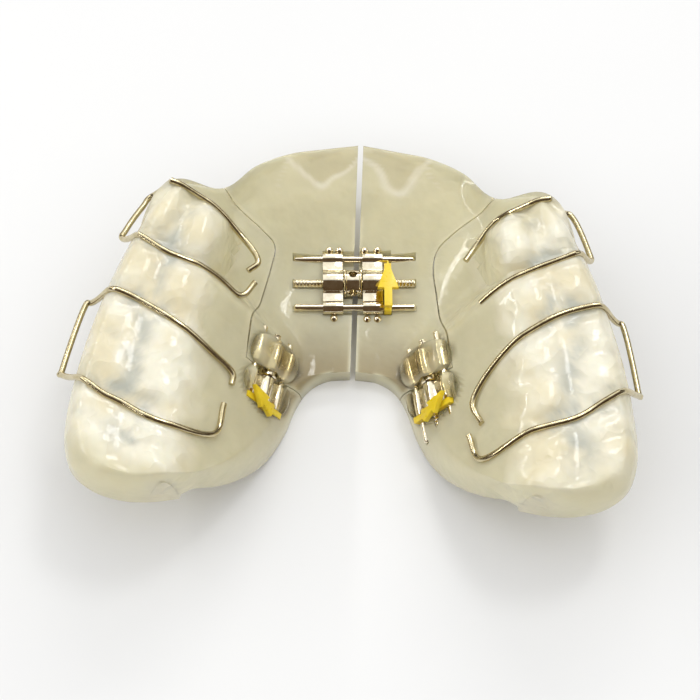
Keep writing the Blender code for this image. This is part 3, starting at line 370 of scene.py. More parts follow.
# Each side's screw: its place in plan, counted outwards from the midline, and its rise over the plate
SAGITTAL_SPOTS = {-1: (0.0096, -0.0043, -0.00031), 1: (0.0087, -0.0041, 0.0004)}
SAGITTAL_SPLAY_DEG = 11.3
SAGITTAL_ROLL_DEG = 52.0
DOME_MARGIN = 0.0008
DOME_SQUARENESS = 2.8
ARROW_HEAD_SHARE = 0.6
ARROW_THICKNESS = 0.0006
ARROW_CLEARANCE = 0.00015
ROD_CHAMFER = 0.00012
PIN_ROUNDING = 0.00024
COLLAR_SHARE = 0.12
HEAD_GROOVE_SHARE = 0.06
KEY_HOLE_REACH = 3.0
KEY_HOLE_TURN_DEG = 20.0
HEAD_CLEARANCE = 0.0001
HEAD_WINDOW_CLEARANCE = 0.00012
BORE_CLEARANCE = 0.00003
TUNNEL_CLEARANCE = 0.00004
TAB_CLEARANCE = 0.00008
TRENCH_RISE = 0.002
LUG_RADIUS = 0.0005
LUG_SIDES = 20
LUG_RISE = 0.00035
LEFT_LUGS = ((-0.0027, 0.00405), (-0.0015, 0.00405), (-0.0022, -0.0043))
RIGHT_LUGS = ((0.0014, 0.00405), (0.0029, 0.00405), (0.0016, -0.0044), (0.0028, -0.0044))
THREAD_PITCH = 0.0004
THREAD_DEPTH = 0.00008
CUTTER_REACH = 0.04
WELD_DISTANCE = 0.000001
EDGE_BEVEL = 0.00006
BEVEL_ANGLE_DEG = 35.0
SHARP_DEG = 26.0

# How finely the screws are drawn
ROUND_SIDES = 40
LOBE_STEP_DEG = 7.5
PIN_END_STEP_DEG = 15
BEVEL_STEPS = 2
THREAD_SIDES = 24
THREAD_RINGS_PER_TURN = 8
DOME_SIDES = 48
DOME_RINGS = 24

# Where the plate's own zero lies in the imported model
ORIGIN = Vector(JOINTS["transverse_spindle_turn"]["pos_m"]) - Vector(TRANSVERSE_CENTRE)
TO_FRAME = Matrix.Translation(ORIGIN)


def plain_mesh(solid, name):
    """Turn a bmesh into a mesh and free it."""
    data = bpy.data.meshes.new(name)
    solid.to_mesh(data)
    solid.free()
    return data


def linked(name, data):
    """Make an object and put it in the scene."""
    item = bpy.data.objects.new(name, data)
    bpy.context.scene.collection.objects.link(item)
    return item


def evaluated_mesh(data, modify=None):
    """Turn a curve or a modified mesh into a plain welded mesh."""
    holder = linked("holder", data)
    if modify is not None:
        modify(holder)
    graph = bpy.context.evaluated_depsgraph_get()
    graph.update()
    mesh = bpy.data.meshes.new_from_object(holder.evaluated_get(graph))
    bpy.data.objects.remove(holder, do_unlink=True)
    solid = bmesh.new()
    solid.from_mesh(mesh)
    bmesh.ops.remove_doubles(solid, verts=solid.verts, dist=WELD_DISTANCE)
    solid.to_mesh(mesh)
    solid.free()
    return mesh


def combined_mesh(mesh, steps):
    """Cut, join or trim a closed mesh with others: steps are (operation, mesh)."""
    others = []

    def modify(holder):
        for operation, other in steps:
            item = linked("other", other)
            others.append(item)
            boolean = holder.modifiers.new("boolean", "BOOLEAN")
            boolean.operation = operation
            boolean.solver = "MANIFOLD"
            boolean.object = item

    result = evaluated_mesh(mesh, modify)
    for item in others:
        bpy.data.objects.remove(item, do_unlink=True)
    return result


def placed(mesh, matrix):
    """Return a copy of a mesh moved by a matrix."""
    copy = mesh.copy()
    copy.transform(matrix)
    return copy


def curve_mesh(lines, is_closed, **settings):
    """Turn straight-sided lines into a mesh, by a curve with these settings."""
    curve = bpy.data.curves.new("curve", "CURVE")
    for name, value in settings.items():
        setattr(curve, name, value)
    for line in lines:
        spline = curve.splines.new("POLY")
        spline.points.add(len(line) - 1)
        spline.use_cyclic_u = is_closed
        for point, spot in zip(spline.points, line):
            point.co = (*spot, 1.0)
    return evaluated_mesh(curve)


def outline_mesh(outlines, depth):
    """Extrude flat outlines, the first one outside and the others as holes, centred on the plane."""
    flat = [[(x, y, 0.0) for x, y in outline] for outline in outlines]
    return curve_mesh(flat, True, dimensions="2D", fill_mode="BOTH", extrude=depth / 2.0)


def lathe_mesh(profile, sides):
    """Turn a profile of (radius, place) points about the X axis; its ends are closed to points."""
    solid = bmesh.new()
    rings = []
    for radius, place in profile:
        if radius < WELD_DISTANCE:
            rings.append([solid.verts.new((place, 0.0, 0.0))])
            continue
        angles = [2.0 * math.pi * side / sides for side in range(sides)]
        rings.append([solid.verts.new((place, radius * math.cos(a), radius * math.sin(a))) for a in angles])
    join_rings(solid, rings)
    return plain_mesh(solid, "lathe")


def join_rings(solid, rings):
    """Skin rings of vertices, in which an end may be a single vertex."""
    for ring, following in zip(rings, rings[1:]):
        count = max(len(ring), len(following))
        for index in range(count):
            after = (index + 1) % count
            if len(ring) == 1:
                solid.faces.new((ring[0], following[after], following[index]))
            elif len(following) == 1:
                solid.faces.new((ring[index], ring[after], following[0]))
            else:
                solid.faces.new((ring[index], ring[after], following[after], following[index]))
    bmesh.ops.recalc_face_normals(solid, faces=solid.faces)


def threaded_rod_mesh(sizes):
    """Make a rod with a right-hand thread on one end and a left-hand thread on the other."""
    solid = bmesh.new()
    first = sizes.rod_shift - sizes.rod_length / 2.0
    count = int(sizes.rod_length / THREAD_PITCH * THREAD_RINGS_PER_TURN)
    rings = [[solid.verts.new((first, 0.0, 0.0))]]
    for step in range(count + 1):
        place = first + sizes.rod_length * step / count
        end = min(place - first, first + sizes.rod_length - place)
        full = sizes.spindle_radius - max(ROD_CHAMFER - end, 0.0)
        ring = []
        for side in range(THREAD_SIDES):
            turn = side / THREAD_SIDES
            phase = (abs(place) / THREAD_PITCH + turn) % 1.0
            radius = full - THREAD_DEPTH * abs(2.0 * phase - 1.0)
            angle = 2.0 * math.pi * turn
            ring.append(solid.verts.new((place, radius * math.cos(angle), radius * math.sin(angle))))
        rings.append(ring)
    rings.append([solid.verts.new((first + sizes.rod_length, 0.0, 0.0))])
    join_rings(solid, rings)
    return plain_mesh(solid, "threaded_rod")


def cylinder_mesh(radius, length):
    """Make a cylinder along the X axis."""
    half = length / 2.0
    return lathe_mesh([(0.0, -half), (radius, -half), (radius, half), (0.0, half)], ROUND_SIDES)


def spindle_mesh(sizes):
    """Make the spindle: threaded ends and a head with crossed key holes between two collars."""
    head = sizes.head_radius
    face = sizes.head_width / 2.0
    neck = face - sizes.head_width * COLLAR_SHARE
    groove = head * HEAD_GROOVE_SHARE
    half = [(0.0, face), (head - ROD_CHAMFER, face), (head, face - ROD_CHAMFER)]
    half += [(head, neck), (head - groove, neck - groove)]
    profile = half + [(radius, -place) for radius, place in reversed(half)]
    steps = [("UNION", threaded_rod_mesh(sizes))]
    for turn in (KEY_HOLE_TURN_DEG, KEY_HOLE_TURN_DEG + 90.0):
        hole = cylinder_mesh(sizes.key_hole_radius, head * KEY_HOLE_REACH)
        upright = Matrix.Rotation(math.radians(90.0), 4, "Y")
        steps += cuts([hole], Matrix.Rotation(math.radians(-turn), 4, "X") @ upright)
    return combined_mesh(lathe_mesh(profile, ROUND_SIDES), steps)


def pin_mesh(sizes, offset):
    """Make a guide pin with rounded ends."""
    half = sizes.rod_length / 2.0
    angles = [math.radians(angle) for angle in range(0, 91, PIN_END_STEP_DEG)]
    end = [(sizes.pin_radius * math.sin(a), half - PIN_ROUNDING * (1.0 - math.cos(a))) for a in angles]
    mesh = lathe_mesh(end + [(radius, -place) for radius, place in reversed(end)], ROUND_SIDES)
    mesh.transform(Matrix.Translation((sizes.rod_shift, offset, 0.0)))
    return mesh


def arc(centre, radius, first_deg, last_deg):
    """Return the points of an arc in a plane."""
    steps = max(int(round(abs(last_deg - first_deg) / LOBE_STEP_DEG)), 2)
    points = []
    for step in range(steps + 1):
        angle = math.radians(first_deg + (last_deg - first_deg) * step / steps)
        points.append((centre + radius * math.cos(angle), radius * math.sin(angle)))
    return points


def circle(centre, radius):
    """Return the points of a bore."""
    angles = [2.0 * math.pi * side / ROUND_SIDES for side in range(ROUND_SIDES)]
    return [(centre + radius * math.cos(angle), radius * math.sin(angle)) for angle in angles]


def housing_measures(sizes, grow=0.0):
    """Return a housing's two radii, the angles at which webs meet them, and the sleeves' offset."""
    barrel = sizes.barrel_radius + grow
    sleeve = sizes.sleeve_radius + grow
    web = sizes.web_thickness / 2.0 + grow
    at_barrel, at_sleeve = (math.degrees(math.asin(web / radius)) for radius in (barrel, sleeve))
    return barrel, sleeve, at_barrel, at_sleeve, sizes.pin_spacing / 2.0


def housing_outline(sizes):
    """Return the outline of a housing: a barrel between two sleeves, joined by webs."""
    barrel, sleeve, at_barrel, at_sleeve, place = housing_measures(sizes)
    points = arc(0.0, barrel, 180.0 + at_barrel, 360.0 - at_barrel)
    points += arc(place, sleeve, 180.0 + at_sleeve, 540.0 - at_sleeve)
    points += arc(0.0, barrel, at_barrel, 180.0 - at_barrel)
    return points + arc(-place, sleeve, at_sleeve, 360.0 - at_sleeve)


def lower_outline(sizes, grow=0.0):
    """Return the lower half of a housing's outline, between its widest points."""
    barrel, sleeve, at_barrel, at_sleeve, place = housing_measures(sizes, grow)
    points = arc(-place, sleeve, 180.0, 360.0 - at_sleeve)
    points += arc(0.0, barrel, 180.0 + at_barrel, 360.0 - at_barrel)
    return points + arc(place, sleeve, 180.0 + at_sleeve, 360.0)


def open_outline(sizes, grow):
    """Return a housing's outline that runs straight up from its widest points."""
    edge = sizes.pin_spacing / 2.0 + sizes.sleeve_radius + grow
    return lower_outline(sizes, grow) + [(edge, CUTTER_REACH), (-edge, CUTTER_REACH)]


def rods(sizes):
    """Return the offset and radius of the first pin, the spindle and the second pin."""
    place = sizes.pin_spacing / 2.0
    return (-place, sizes.pin_radius), (0.0, sizes.spindle_radius), (place, sizes.pin_radius)


def bores(sizes):
    """Return the outlines of the three bores for the pins and the spindle."""
    return [circle(offset, radius + BORE_CLEARANCE) for offset, radius in rods(sizes)]


def stations(sizes):
    """Return how far from the screw's middle a housing's middle, its end and the tab's end are."""
    start = sizes.head_width / 2.0 + HEAD_CLEARANCE
    end = start + sizes.housing_length
    return start + sizes.housing_length / 2.0, end, end + ARROW_CLEARANCE + sizes.tab_thickness


# An outline's plane set across the screw
ACROSS = Matrix(((0, 0, 1, 0), (1, 0, 0, 0), (0, 1, 0, 0), (0, 0, 0, 1)))


def bevelled(mesh):
    """Round a mesh's sharp edges a little."""

    def modify(holder):
        bevel = holder.modifiers.new("bevel", "BEVEL")
        bevel.width = EDGE_BEVEL
        bevel.segments = BEVEL_STEPS
        bevel.limit_method = "ANGLE"
        bevel.angle_limit = math.radians(BEVEL_ANGLE_DEG)
        bevel.use_clamp_overlap = True

    return evaluated_mesh(mesh, modify)


def housing_mesh(sizes, offset):
    """Make a housing centred at an offset along the screw."""
    mesh = outline_mesh([housing_outline(sizes)] + bores(sizes), sizes.housing_length)
    mesh.transform(Matrix.Translation((offset, 0.0, 0.0)) @ ACROSS)
    return bevelled(mesh)


def with_lugs(mesh, matrix, spots):
    """Add the lugs that hold a housing in the acrylic, each standing just proud of the plate."""
    solid = bmesh.new()
    solid.from_mesh(mesh)
    for spot in spots:
        place = matrix @ Vector((*spot, 0.0))
        x, y, _ = place - ORIGIN
        place.z = polished_height(abs(x), y) + ORIGIN.z + LUG_RISE - LUG_RADIUS
        fineness = {"u_segments": LUG_SIDES, "v_segments": LUG_SIDES // 2}
        lug = bmesh.ops.create_uvsphere(solid, radius=LUG_RADIUS, **fineness)
        bmesh.ops.translate(solid, vec=place, verts=lug["verts"])
    return plain_mesh(solid, "housing")


def tab_stem_outlines(sizes):
    """Return the outline of the arrow tab's stem, with the holes that the rods pass through."""
    half_width = sizes.pin_spacing / 2.0 + sizes.sleeve_radius
    top = sizes.barrel_radius + ARROW_CLEARANCE + ARROW_THICKNESS / 2.0
    neck = sizes.sleeve_radius + ARROW_CLEARANCE
    shoulder = sizes.barrel_radius
    shown_end = [(shoulder, top), (-shoulder, top), (-shoulder, neck), (-half_width, neck)]
    if sizes.tab_holds_both_pins:
        return [lower_outline(sizes) + [(half_width, neck), (shoulder, neck)] + shown_end] + bores(sizes)
    low = -sizes.web_thickness / 2.0
    under = [point for point in lower_outline(sizes) if point[0] < shoulder]
    return [under + [(shoulder, low)] + shown_end] + bores(sizes)[:2]


def tab_mesh(sizes, pointing):
    """Make the moulded tab: a stem across the rods' ends, and an arrow on it."""
    stem = outline_mesh(tab_stem_outlines(sizes), sizes.tab_thickness)
    at = stations(sizes)[2] - sizes.tab_thickness / 2.0
    stem.transform(Matrix.Translation((at, 0.0, 0.0)) @ ACROSS)
    half_length = sizes.arrow_length / 2.0
    neck = sizes.arrow_length * (0.5 - ARROW_HEAD_SHARE)
    shaft = sizes.arrow_shaft / 2.0
    head = sizes.arrow_width / 2.0
    flat = [(-shaft, -half_length), (shaft, -half_length), (shaft, neck), (head, neck)]
    flat += [(0.0, half_length), (-head, neck), (-shaft, neck)]
    arrow = outline_mesh([[(x, pointing * y) for x, y in flat]], ARROW_THICKNESS)
    height = sizes.barrel_radius + ARROW_CLEARANCE + ARROW_THICKNESS / 2.0
    turn = Matrix.Rotation(math.radians(pointing * sizes.arrow_turn), 4, "Z")
    arrow.transform(Matrix.Translation((at, pointing * sizes.arrow_shift, height)) @ turn)
    return bevelled(combined_mesh(stem, [("UNION", arrow)]))


def tunnel_meshes(sizes):
    """Make the three round tunnels that the rods run in."""
    meshes = []
    for offset, radius in rods(sizes):
        mesh = cylinder_mesh(radius + TUNNEL_CLEARANCE, sizes.rod_length + 2.0 * HEAD_CLEARANCE)
        mesh.transform(Matrix.Translation((sizes.rod_shift, offset, 0.0)))
        meshes.append(mesh)
    return meshes


def trench_meshes(sizes):
    """Make open trenches over the rods, so that their upper sides show."""
    room = sizes.pin_radius + TUNNEL_CLEARANCE
    reach = sizes.rod_length / 2.0 + HEAD_CLEARANCE
    meshes = []
    for offset, _ in rods(sizes):
        low, high = offset - room, offset + room
        flat = [(low, 0.0), (high, 0.0), (high, TRENCH_RISE), (low, TRENCH_RISE)]
        meshes.append(pocket_mesh(flat, sizes.rod_shift - reach, sizes.rod_shift + reach))
    return meshes


def pocket_mesh(outline, start, end):
    """Make a pocket with an outline between two places along the screw."""
    mesh = outline_mesh([outline], end - start)
    mesh.transform(Matrix.Translation(((start + end) / 2.0, 0.0, 0.0)) @ ACROSS)
    return mesh


def window_mesh(sizes):
    """Make the round room that the screw's head turns in."""
    return cylinder_mesh(sizes.head_radius + HEAD_WINDOW_CLEARANCE, sizes.head_width + 2.0 * HEAD_CLEARANCE)


def dome_size(sizes):
    """Return how far the swelling round a housing reaches along, across and out of the plate."""
    reach = sizes.housing_length / 2.0 + DOME_MARGIN
    width = sizes.pin_spacing / 2.0 + sizes.sleeve_radius + DOME_MARGIN
    return reach, width, sizes.barrel_radius + DOME_MARGIN


def dome_mesh(sizes, offset):
    """Make the rounded swelling of acrylic round a housing."""
    solid = bmesh.new()
    bmesh.ops.create_uvsphere(solid, u_segments=DOME_SIDES, v_segments=DOME_RINGS, radius=1.0)
    for vertex in solid.verts:
        vertex.co /= sum(abs(share) ** DOME_SQUARENESS for share in vertex.co) ** (1.0 / DOME_SQUARENESS)
    bmesh.ops.scale(solid, vec=dome_size(sizes), verts=solid.verts)
    bmesh.ops.translate(solid, vec=(offset, 0.0, 0.0), verts=solid.verts)
    return plain_mesh(solid, "dome")


def sagittal_centre(side):
    """Return the middle of a side's screw, counted outwards from the midline."""
    x, y, rise = SAGITTAL_SPOTS[side]
    return x, y, polished_height(x, y) + rise


def sagittal_matrix(side):
    """Return the frame of the screw on one side of the plate."""
    splay = math.radians(SAGITTAL_SPLAY_DEG)
    roll = math.radians(SAGITTAL_ROLL_DEG)
    along = Vector((side * math.sin(splay), -math.cos(splay), 0.0))
    outward = Vector((side * math.cos(splay), math.sin(splay), 0.0))
    normal = Vector((0.0, 0.0, math.cos(roll))) - outward * math.sin(roll)
    rotation = Matrix((along, normal.cross(along), normal)).transposed().to_4x4()
    x, y, z = sagittal_centre(side)
    return TO_FRAME @ Matrix.Translation((side * x, y, z)) @ rotation


def transverse_matrix():
    """Return the frame of the screw in the midline."""
    along = Vector(JOINTS["transverse_spindle_turn"]["axis"])
    turn = math.atan2(along.y, along.x)
    return TO_FRAME @ Matrix.Translation(TRANSVERSE_CENTRE) @ Matrix.Rotation(turn, 4, "Z")


def offset_path(path, distance):
    """Shift a path sideways, to its left as it runs."""
    shifted = []
    last = len(path) - 1
    for index, point in enumerate(path):
        before = Vector(path[max(index - 1, 0)])
        after = Vector(path[min(index + 1, last)])
        run = (after - before).normalized()
        shifted.append((point[0] - run.y * distance, point[1] + run.x * distance))
    return shifted


def curve_points(points, steps):
    """Return places on the smooth curve through points, with so many steps from one point to the next."""
    return [tuple(curve_point(points, step / steps)) for step in range((len(points) - 1) * steps + 1)]


def front_region(side, shift):
    """Return the plan outline of all that lies in front of the saw cut."""
    centre = Vector(sagittal_centre(side)[:2])
    splay = math.radians(SAGITTAL_SPLAY_DEG)
    outward = Vector((math.cos(splay), math.sin(splay)))
    path = curve_points(RIGHT_CUT_PATH if side > 0 else LEFT_CUT_PATH, CUT_STEPS)
    path.append(tuple(centre + outward * SLIT_OUTER_REACH))
    path.append(tuple(centre - outward * SLIT_INNER_REACH))
    path = offset_path(path, shift)
    outline = [(-CUTTER_REACH, CUTTER_REACH), (path[0][0], CUTTER_REACH)]
    outline += path
    outline.append((-CUTTER_REACH, path[-1][1]))
    return [(side * x, y) for x, y in outline]


def half_plate_mesh(side):
    """Loft one half of the plate, before it is sawn."""
    inner_edge = [(MIDLINE_GAP / 2.0, y) for y in MIDLINE_Y] + list(THROAT)
    corner = len(MIDLINE_Y) - 1
    solid = bmesh.new()
    rings = []
    for index in range((len(RIM) - 1) * SECTIONS_PER_SPAN + 1):
        place = index / SECTIONS_PER_SPAN
        if place <= corner:
            inner = curve_point(inner_edge[:corner + 1], place)
        else:
            inner = curve_point(inner_edge[corner:], place - corner)
        loop = section(inner, curve_point(RIM, place), place > corner)
        rings.append([solid.verts.new((side * x, y, z)) for x, y, z in loop])
    join_rings(solid, rings)
    solid.faces.new(rings[0])
    solid.faces.new(rings[-1])
    bmesh.ops.recalc_face_normals(solid, faces=solid.faces)
    mesh = plain_mesh(solid, "half_plate")
    mesh.transform(TO_FRAME)
    return mesh


def cuts(meshes, matrix):
    """Return the steps that cut meshes out, moved by a matrix."""
    return [("DIFFERENCE", placed(mesh, matrix)) for mesh in meshes]


def plate_meshes(side):
    """Return the front and rear segments of one half of the plate, and the surface that the wires lie on."""
    half = half_plate_mesh(side)
    surface = bmesh.new()
    surface.from_mesh(half)
    tree = BVHTree.FromBMesh(surface)
    surface.free()
    screw = sagittal_matrix(side)
    middle, _, rear_end = stations(SAGITTAL)
    _, housing_end, tab_end = stations(TRANSVERSE)
    front_dome, rear_dome = (placed(dome_mesh(SAGITTAL, offset), screw) for offset in (-middle, middle))
    front_cutter, rear_cutter = (
        placed(outline_mesh([front_region(side, shift)], 2.0 * CUTTER_REACH), TO_FRAME)
        for shift in (-SAW_KERF / 2.0, SAW_KERF / 2.0)
    )
    room = cuts([window_mesh(SAGITTAL)] + tunnel_meshes(SAGITTAL), screw)
    meshes = [window_mesh(TRANSVERSE)] + tunnel_meshes(TRANSVERSE) + trench_meshes(TRANSVERSE)
    meshes.append(pocket_mesh(open_outline(TRANSVERSE, TAB_CLEARANCE), -housing_end, tab_end + TAB_CLEARANCE))
    rear_pocket = pocket_mesh(open_outline(SAGITTAL, TAB_CLEARANCE), 0.0, rear_end + TAB_CLEARANCE)
    front = [("UNION", front_dome), ("INTERSECT", front_cutter)] + room + cuts(meshes, transverse_matrix())
    rear = [("UNION", rear_dome), ("DIFFERENCE", rear_cutter)] + room + cuts([rear_pocket], screw)
    return combined_mesh(half, front), combined_mesh(half, rear), tree


# Wire clasps: plan points of each arm, from its hooked end over the biting side to the cheek side, and the
# bridge that joins the arms outside the cheek side
WIRE_RADIUS = 0.00035
WIRE_RISE = 0.0002
BRIDGE_OVERLAP = 0.4
BRIDGE_DROP = 0.0036
WIRE_STEPS = 8
WIRE_BEVEL_STEPS = 6
WIRE_SMOOTHINGS = 12
LEFT_FRONT_CLASP = (
    ((-0.0122, 0.006), (-0.0111, 0.0073), (-0.0126, 0.0097), (-0.0153, 0.0123), (-0.0187, 0.0141)),
    ((-0.0232, 0.015), (-0.0246, 0.0135), (-0.0262, 0.0106), (-0.0264, 0.0093)),
    ((-0.0234, 0.0073), (-0.0207, 0.0057), (-0.0157, 0.0042), (-0.0129, 0.0028), (-0.0113, 0.0046)),
)
LEFT_REAR_CLASP = (
    ((-0.0133, -0.008), (-0.0134, -0.0065), (-0.0161, -0.0049), (-0.0223, -0.0011), (-0.0258, 0.0006)),
    ((-0.0292, 0.0012), (-0.0302, 0.0004), (-0.0319, -0.0068), (-0.0317, -0.0079)),
    ((-0.0274, -0.0113), (-0.0248, -0.0126), (-0.0206, -0.0147), (-0.015, -0.0148), (-0.014, -0.0106)),
)
RIGHT_FRONT_CLASP = (
    ((0.0122, 0.0083), (0.0134, 0.0102), (0.0155, 0.0129), (0.018, 0.0136)),
    ((0.0229, 0.0146), (0.0244, 0.0142), (0.0261, 0.01), (0.0261, 0.0085)),
    ((0.0232, 0.007), (0.0199, 0.0057), (0.0163, 0.0039), (0.0138, 0.0023)),
)
RIGHT_REAR_CLASP = (
    ((0.0141, -0.0119), (0.0132, -0.0088), (0.0163, -0.0043), (0.0216, -0.0006), (0.0256, 0.0008)),
    ((0.029, 0.0011), (0.03, 0.0001), (0.0313, -0.007), (0.0311, -0.0079)),
    ((0.0269, -0.0105), (0.0239, -0.0125), (0.0191, -0.0141), (0.0142, -0.0162), (0.0127, -0.013)),
)


def clasp_mesh(clasp, tree):
    """Bend a clasp's wire over the plate's surface."""
    first_arm, bridge, second_arm = clasp
    plan = [(spot[0] + ORIGIN.x, spot[1] + ORIGIN.y, 0.0) for spot in first_arm + bridge + second_arm]
    low = OCCLUSAL_HEIGHT - BRIDGE_DROP + ORIGIN.z
    points, least = [], []
    for step in range((len(plan) - 1) * WIRE_STEPS + 1):
        place = step / WIRE_STEPS
        spot = curve_point(plan, place)
        hit = tree.ray_cast((spot.x, spot.y, CUTTER_REACH), (0.0, 0.0, -1.0))[0]
        on_bridge = len(first_arm) - BRIDGE_OVERLAP < place < len(first_arm + bridge) - 1 + BRIDGE_OVERLAP
        least.append(low if hit is None else max(hit.z + WIRE_RISE, low))
        points.append((spot.x, spot.y, low if on_bridge else least[-1]))
    for _ in range(WIRE_SMOOTHINGS):
        heights = [point[2] for point in points]
        for index in range(1, len(points) - 1):
            around = (heights[index - 1] + 2.0 * heights[index] + heights[index + 1]) / 4.0
            points[index] = (*points[index][:2], max(around, least[index]))
    wire = {"bevel_depth": WIRE_RADIUS, "bevel_resolution": WIRE_BEVEL_STEPS, "use_fill_caps": True}
    return curve_mesh([points], False, dimensions="3D", **wire)


def add_piece(name, mesh, body, node, slot):
    """Put a piece in the scene in place of a CAD node, and let it ride on its body."""
    mesh.materials.clear()
    mesh.materials.append(MATERIALS[slot])
    mesh.shade_smooth()
    mesh.set_sharp_from_angle(angle=math.radians(SHARP_DEG))
    piece = linked(name, mesh)
    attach(piece, body)
    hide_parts(node)


Socket = namedtuple("Socket", "node output")
NOISE_DETAIL = 3.0
NOISE_MIDDLE = (0.3, 0.7)
CREASE_HALVES = ((0.25, 0.5), (0.5, 0.75))
# Painted light on upright faces, standing in for light that pipes out of the acrylic: the tilts over which it
# fades, and its strength
GLOW_TILT = (0.15, 0.55)
GLOW_STRENGTH = 0.8


class Shader:
    """Build the node tree of a material or of the world."""

    def __init__(self, holder, surface="Principled BSDF"):
        holder.use_nodes = True
        self.holder = holder
        self.tree = holder.node_tree
        self.surface = self.tree.nodes[surface]

    def put(self, socket, value):
        """Link an input to another node's output, or set its value."""
        if isinstance(value, Socket):
            self.tree.links.new(value.node.outputs[value.output], socket)
        elif socket.type == "RGBA":
            socket.default_value = (*value, 1.0)
        else:
            socket.default_value = value

    def feed(self, **values):
        """Put values into the surface's inputs by name, with underscores for spaces."""
        for name, value in values.items():
            self.put(self.surface.inputs[name.replace("_", " ")], value)

    def add(self, kind, output, inputs=(), **settings):
        """Add a node, set its properties and its inputs, and return one of its outputs."""
        node = self.tree.nodes.new("ShaderNode" + kind)
        for name, value in settings.items():
            setattr(node, name, value)
        for name, value in dict(inputs).items():
            self.put(node.inputs[name], value)
        return Socket(node, output)

    def noise(self, scale, detail=NOISE_DETAIL):
        """Return a noise value that stays with a moving piece."""
        place = self.add("TexCoord", "Object")
        return self.add("TexNoise", "Fac", {"Vector": place, "Scale": scale, "Detail": detail})

    def ramp(self, value, stops):
        """Return a colour that runs through (place, colour) stops."""
        ramp = self.add("ValToRGB", "Color", {"Fac": value})
        elements = ramp.node.color_ramp.elements
        for index, (place, colour) in enumerate(stops):
            element = elements[index] if index < 2 else elements.new(place)
            element.position = place
            element.color = (*colour, 1.0)
        return ramp

    def span(self, value, low, high, to_low=0.0, to_high=1.0, kind="LINEAR"):
        """Map a value's range to another."""
        inputs = {"Value": value, "From Min": low, "From Max": high, "To Min": to_low, "To Max": to_high}
        return self.add("MapRange", "Result", inputs, interpolation_type=kind)

    def mix(self, share, first, second, blend="MIX"):
        """Mix two colours."""
        inputs = {"Fac": share, "Color1": first, "Color2": second}
        return self.add("MixRGB", "Color", inputs, blend_type=blend)

    def upright_glow(self):
        """Return how strongly painted light shows on a face, as light piping out of the acrylic would: 0 on
        level ones.
        """
        up = self.add("SeparateXYZ", "Z", {"Vector": self.add("TexCoord", "Normal")})
        level = self.add("Math", "Value", {0: up}, operation="ABSOLUTE")
        return self.span(level, *GLOW_TILT, GLOW_STRENGTH, 0.0)

    def creases(self, scale):
        """Return a value with sharp ridges, like the cusps under the plate."""
        low, high = (self.span(self.noise(scale, 1.0), *limits) for limits in CREASE_HALVES)
        return self.mix(1.0, low, high, "DIFFERENCE")

    def bumps(self, value, strength, depth):
        """Roughen the surface by a value."""
        inputs = {"Height": value, "Strength": strength, "Distance": depth}
        self.feed(Normal=self.add("Bump", "Normal", inputs))


# Where the acrylic is tinted: painted light along its saw cuts, midline and throat; over the crown forms,
# with painted shade in their hollows;
# round the housings; painted highlight lines along the front edge's scallops, a tint beyond them; and painted
# shade towards the throat
TINTS = ("edge", "crown", "hollow_shade", "dome", "scallop_highlight", "gum", "rear")
CROWN_TINT_MARGIN = 0.0022
# Painted shade in the hollows between and across the crown forms: the groove depth that gives its full
# strength, and the cheek half where it shows
HOLLOW_SHADE_DEPTH = 0.0012
HOLLOW_SHADE_ACROSS = (-0.9, -0.3)
SPECK_SCALE = 420.0
SPECK_SHAPE = (0.8, 2.0, 3)
# The front edge's scallops: painted highlight lines that follow them, and the tint in front of them
SCALLOP_START = -0.003
SCALLOP_RISE = 0.004
SCALLOP_HIGHLIGHT_WIDTH = 0.00045
SCALLOP_FADE = 0.0006
SCALLOP_END_X = (0.007, 0.01)
CLEAR_TAIL = 0.0003
CLEAR_EDGE = 1.25
# Painted light along the saw cuts, the midline and the throat: how finely the edges are sampled, and how wide
# the light spreads
EDGE_SAMPLE = 0.0002
EDGE_GLOW_WIDTH = 0.00028
# Painted shade over the palate towards its rear middle, by the throat
REAR_SHADE_Y = (-0.004, 0.006)
REAR_SHADE_X = (0.006, 0.01)
WARP_SCALE = 300.0
WARP_REACH = 0.0012
WARP_SEED = 7


def scallop_share(x, y):
    """Return how strongly the painted highlight lines behind the front edge show, and the tint in front of
    them.
    """
    front = frontness(x, y)
    if front <= 0.0:
        return 0.0, 0.0
    beyond = (vault_share(x, y) - 1.0) * VAULT_REACH
    past = beyond - SCALLOP_START - SCALLOP_RISE * (1.0 - math.sqrt(front_tooth_bulge(x)))
    inside = front * (1.0 - smooth_step(*SCALLOP_END_X, x))
    return inside * bell(past, SCALLOP_HIGHLIGHT_WIDTH), inside * smooth_step(0.0, SCALLOP_FADE, past)


def dome_share(spot, screws):
    """Return 1 deep inside the swelling round a housing and 0 outside it."""
    share = 0.0
    middle = stations(SAGITTAL)[0]
    reach, width, height = dome_size(SAGITTAL)
    for screw in screws:
        local = screw @ spot
        for offset, half_length in ((-middle, reach), (middle + CLEAR_TAIL, reach + CLEAR_TAIL)):
            size = math.hypot((local.x - offset) / half_length, local.y / width, local.z / height)
            share = max(share, 1.0 - smooth_step(1.0, CLEAR_EDGE, size))
    return share


def edge_finder(side):
    """Return a search tree of the saw cut, the midline and the throat, where edges catch the light."""
    cut = [(abs(x), y) for x, y in front_region(side, 0.0)[2:-1]]
    midline = [(MIDLINE_GAP / 2.0, y) for y in MIDLINE_Y]
    spots = []
    for line in (cut, midline, curve_points(THROAT, CUT_STEPS)):
        for start, end in zip(line, line[1:]):
            steps = int((Vector(end) - Vector(start)).length / EDGE_SAMPLE) + 1
            spots += [Vector(start).lerp(Vector(end), step / steps).to_3d() for step in range(steps)]
    finder = KDTree(len(spots))
    for index, spot in enumerate(spots):
        finder.insert(spot, index)
    finder.balance()
    return finder


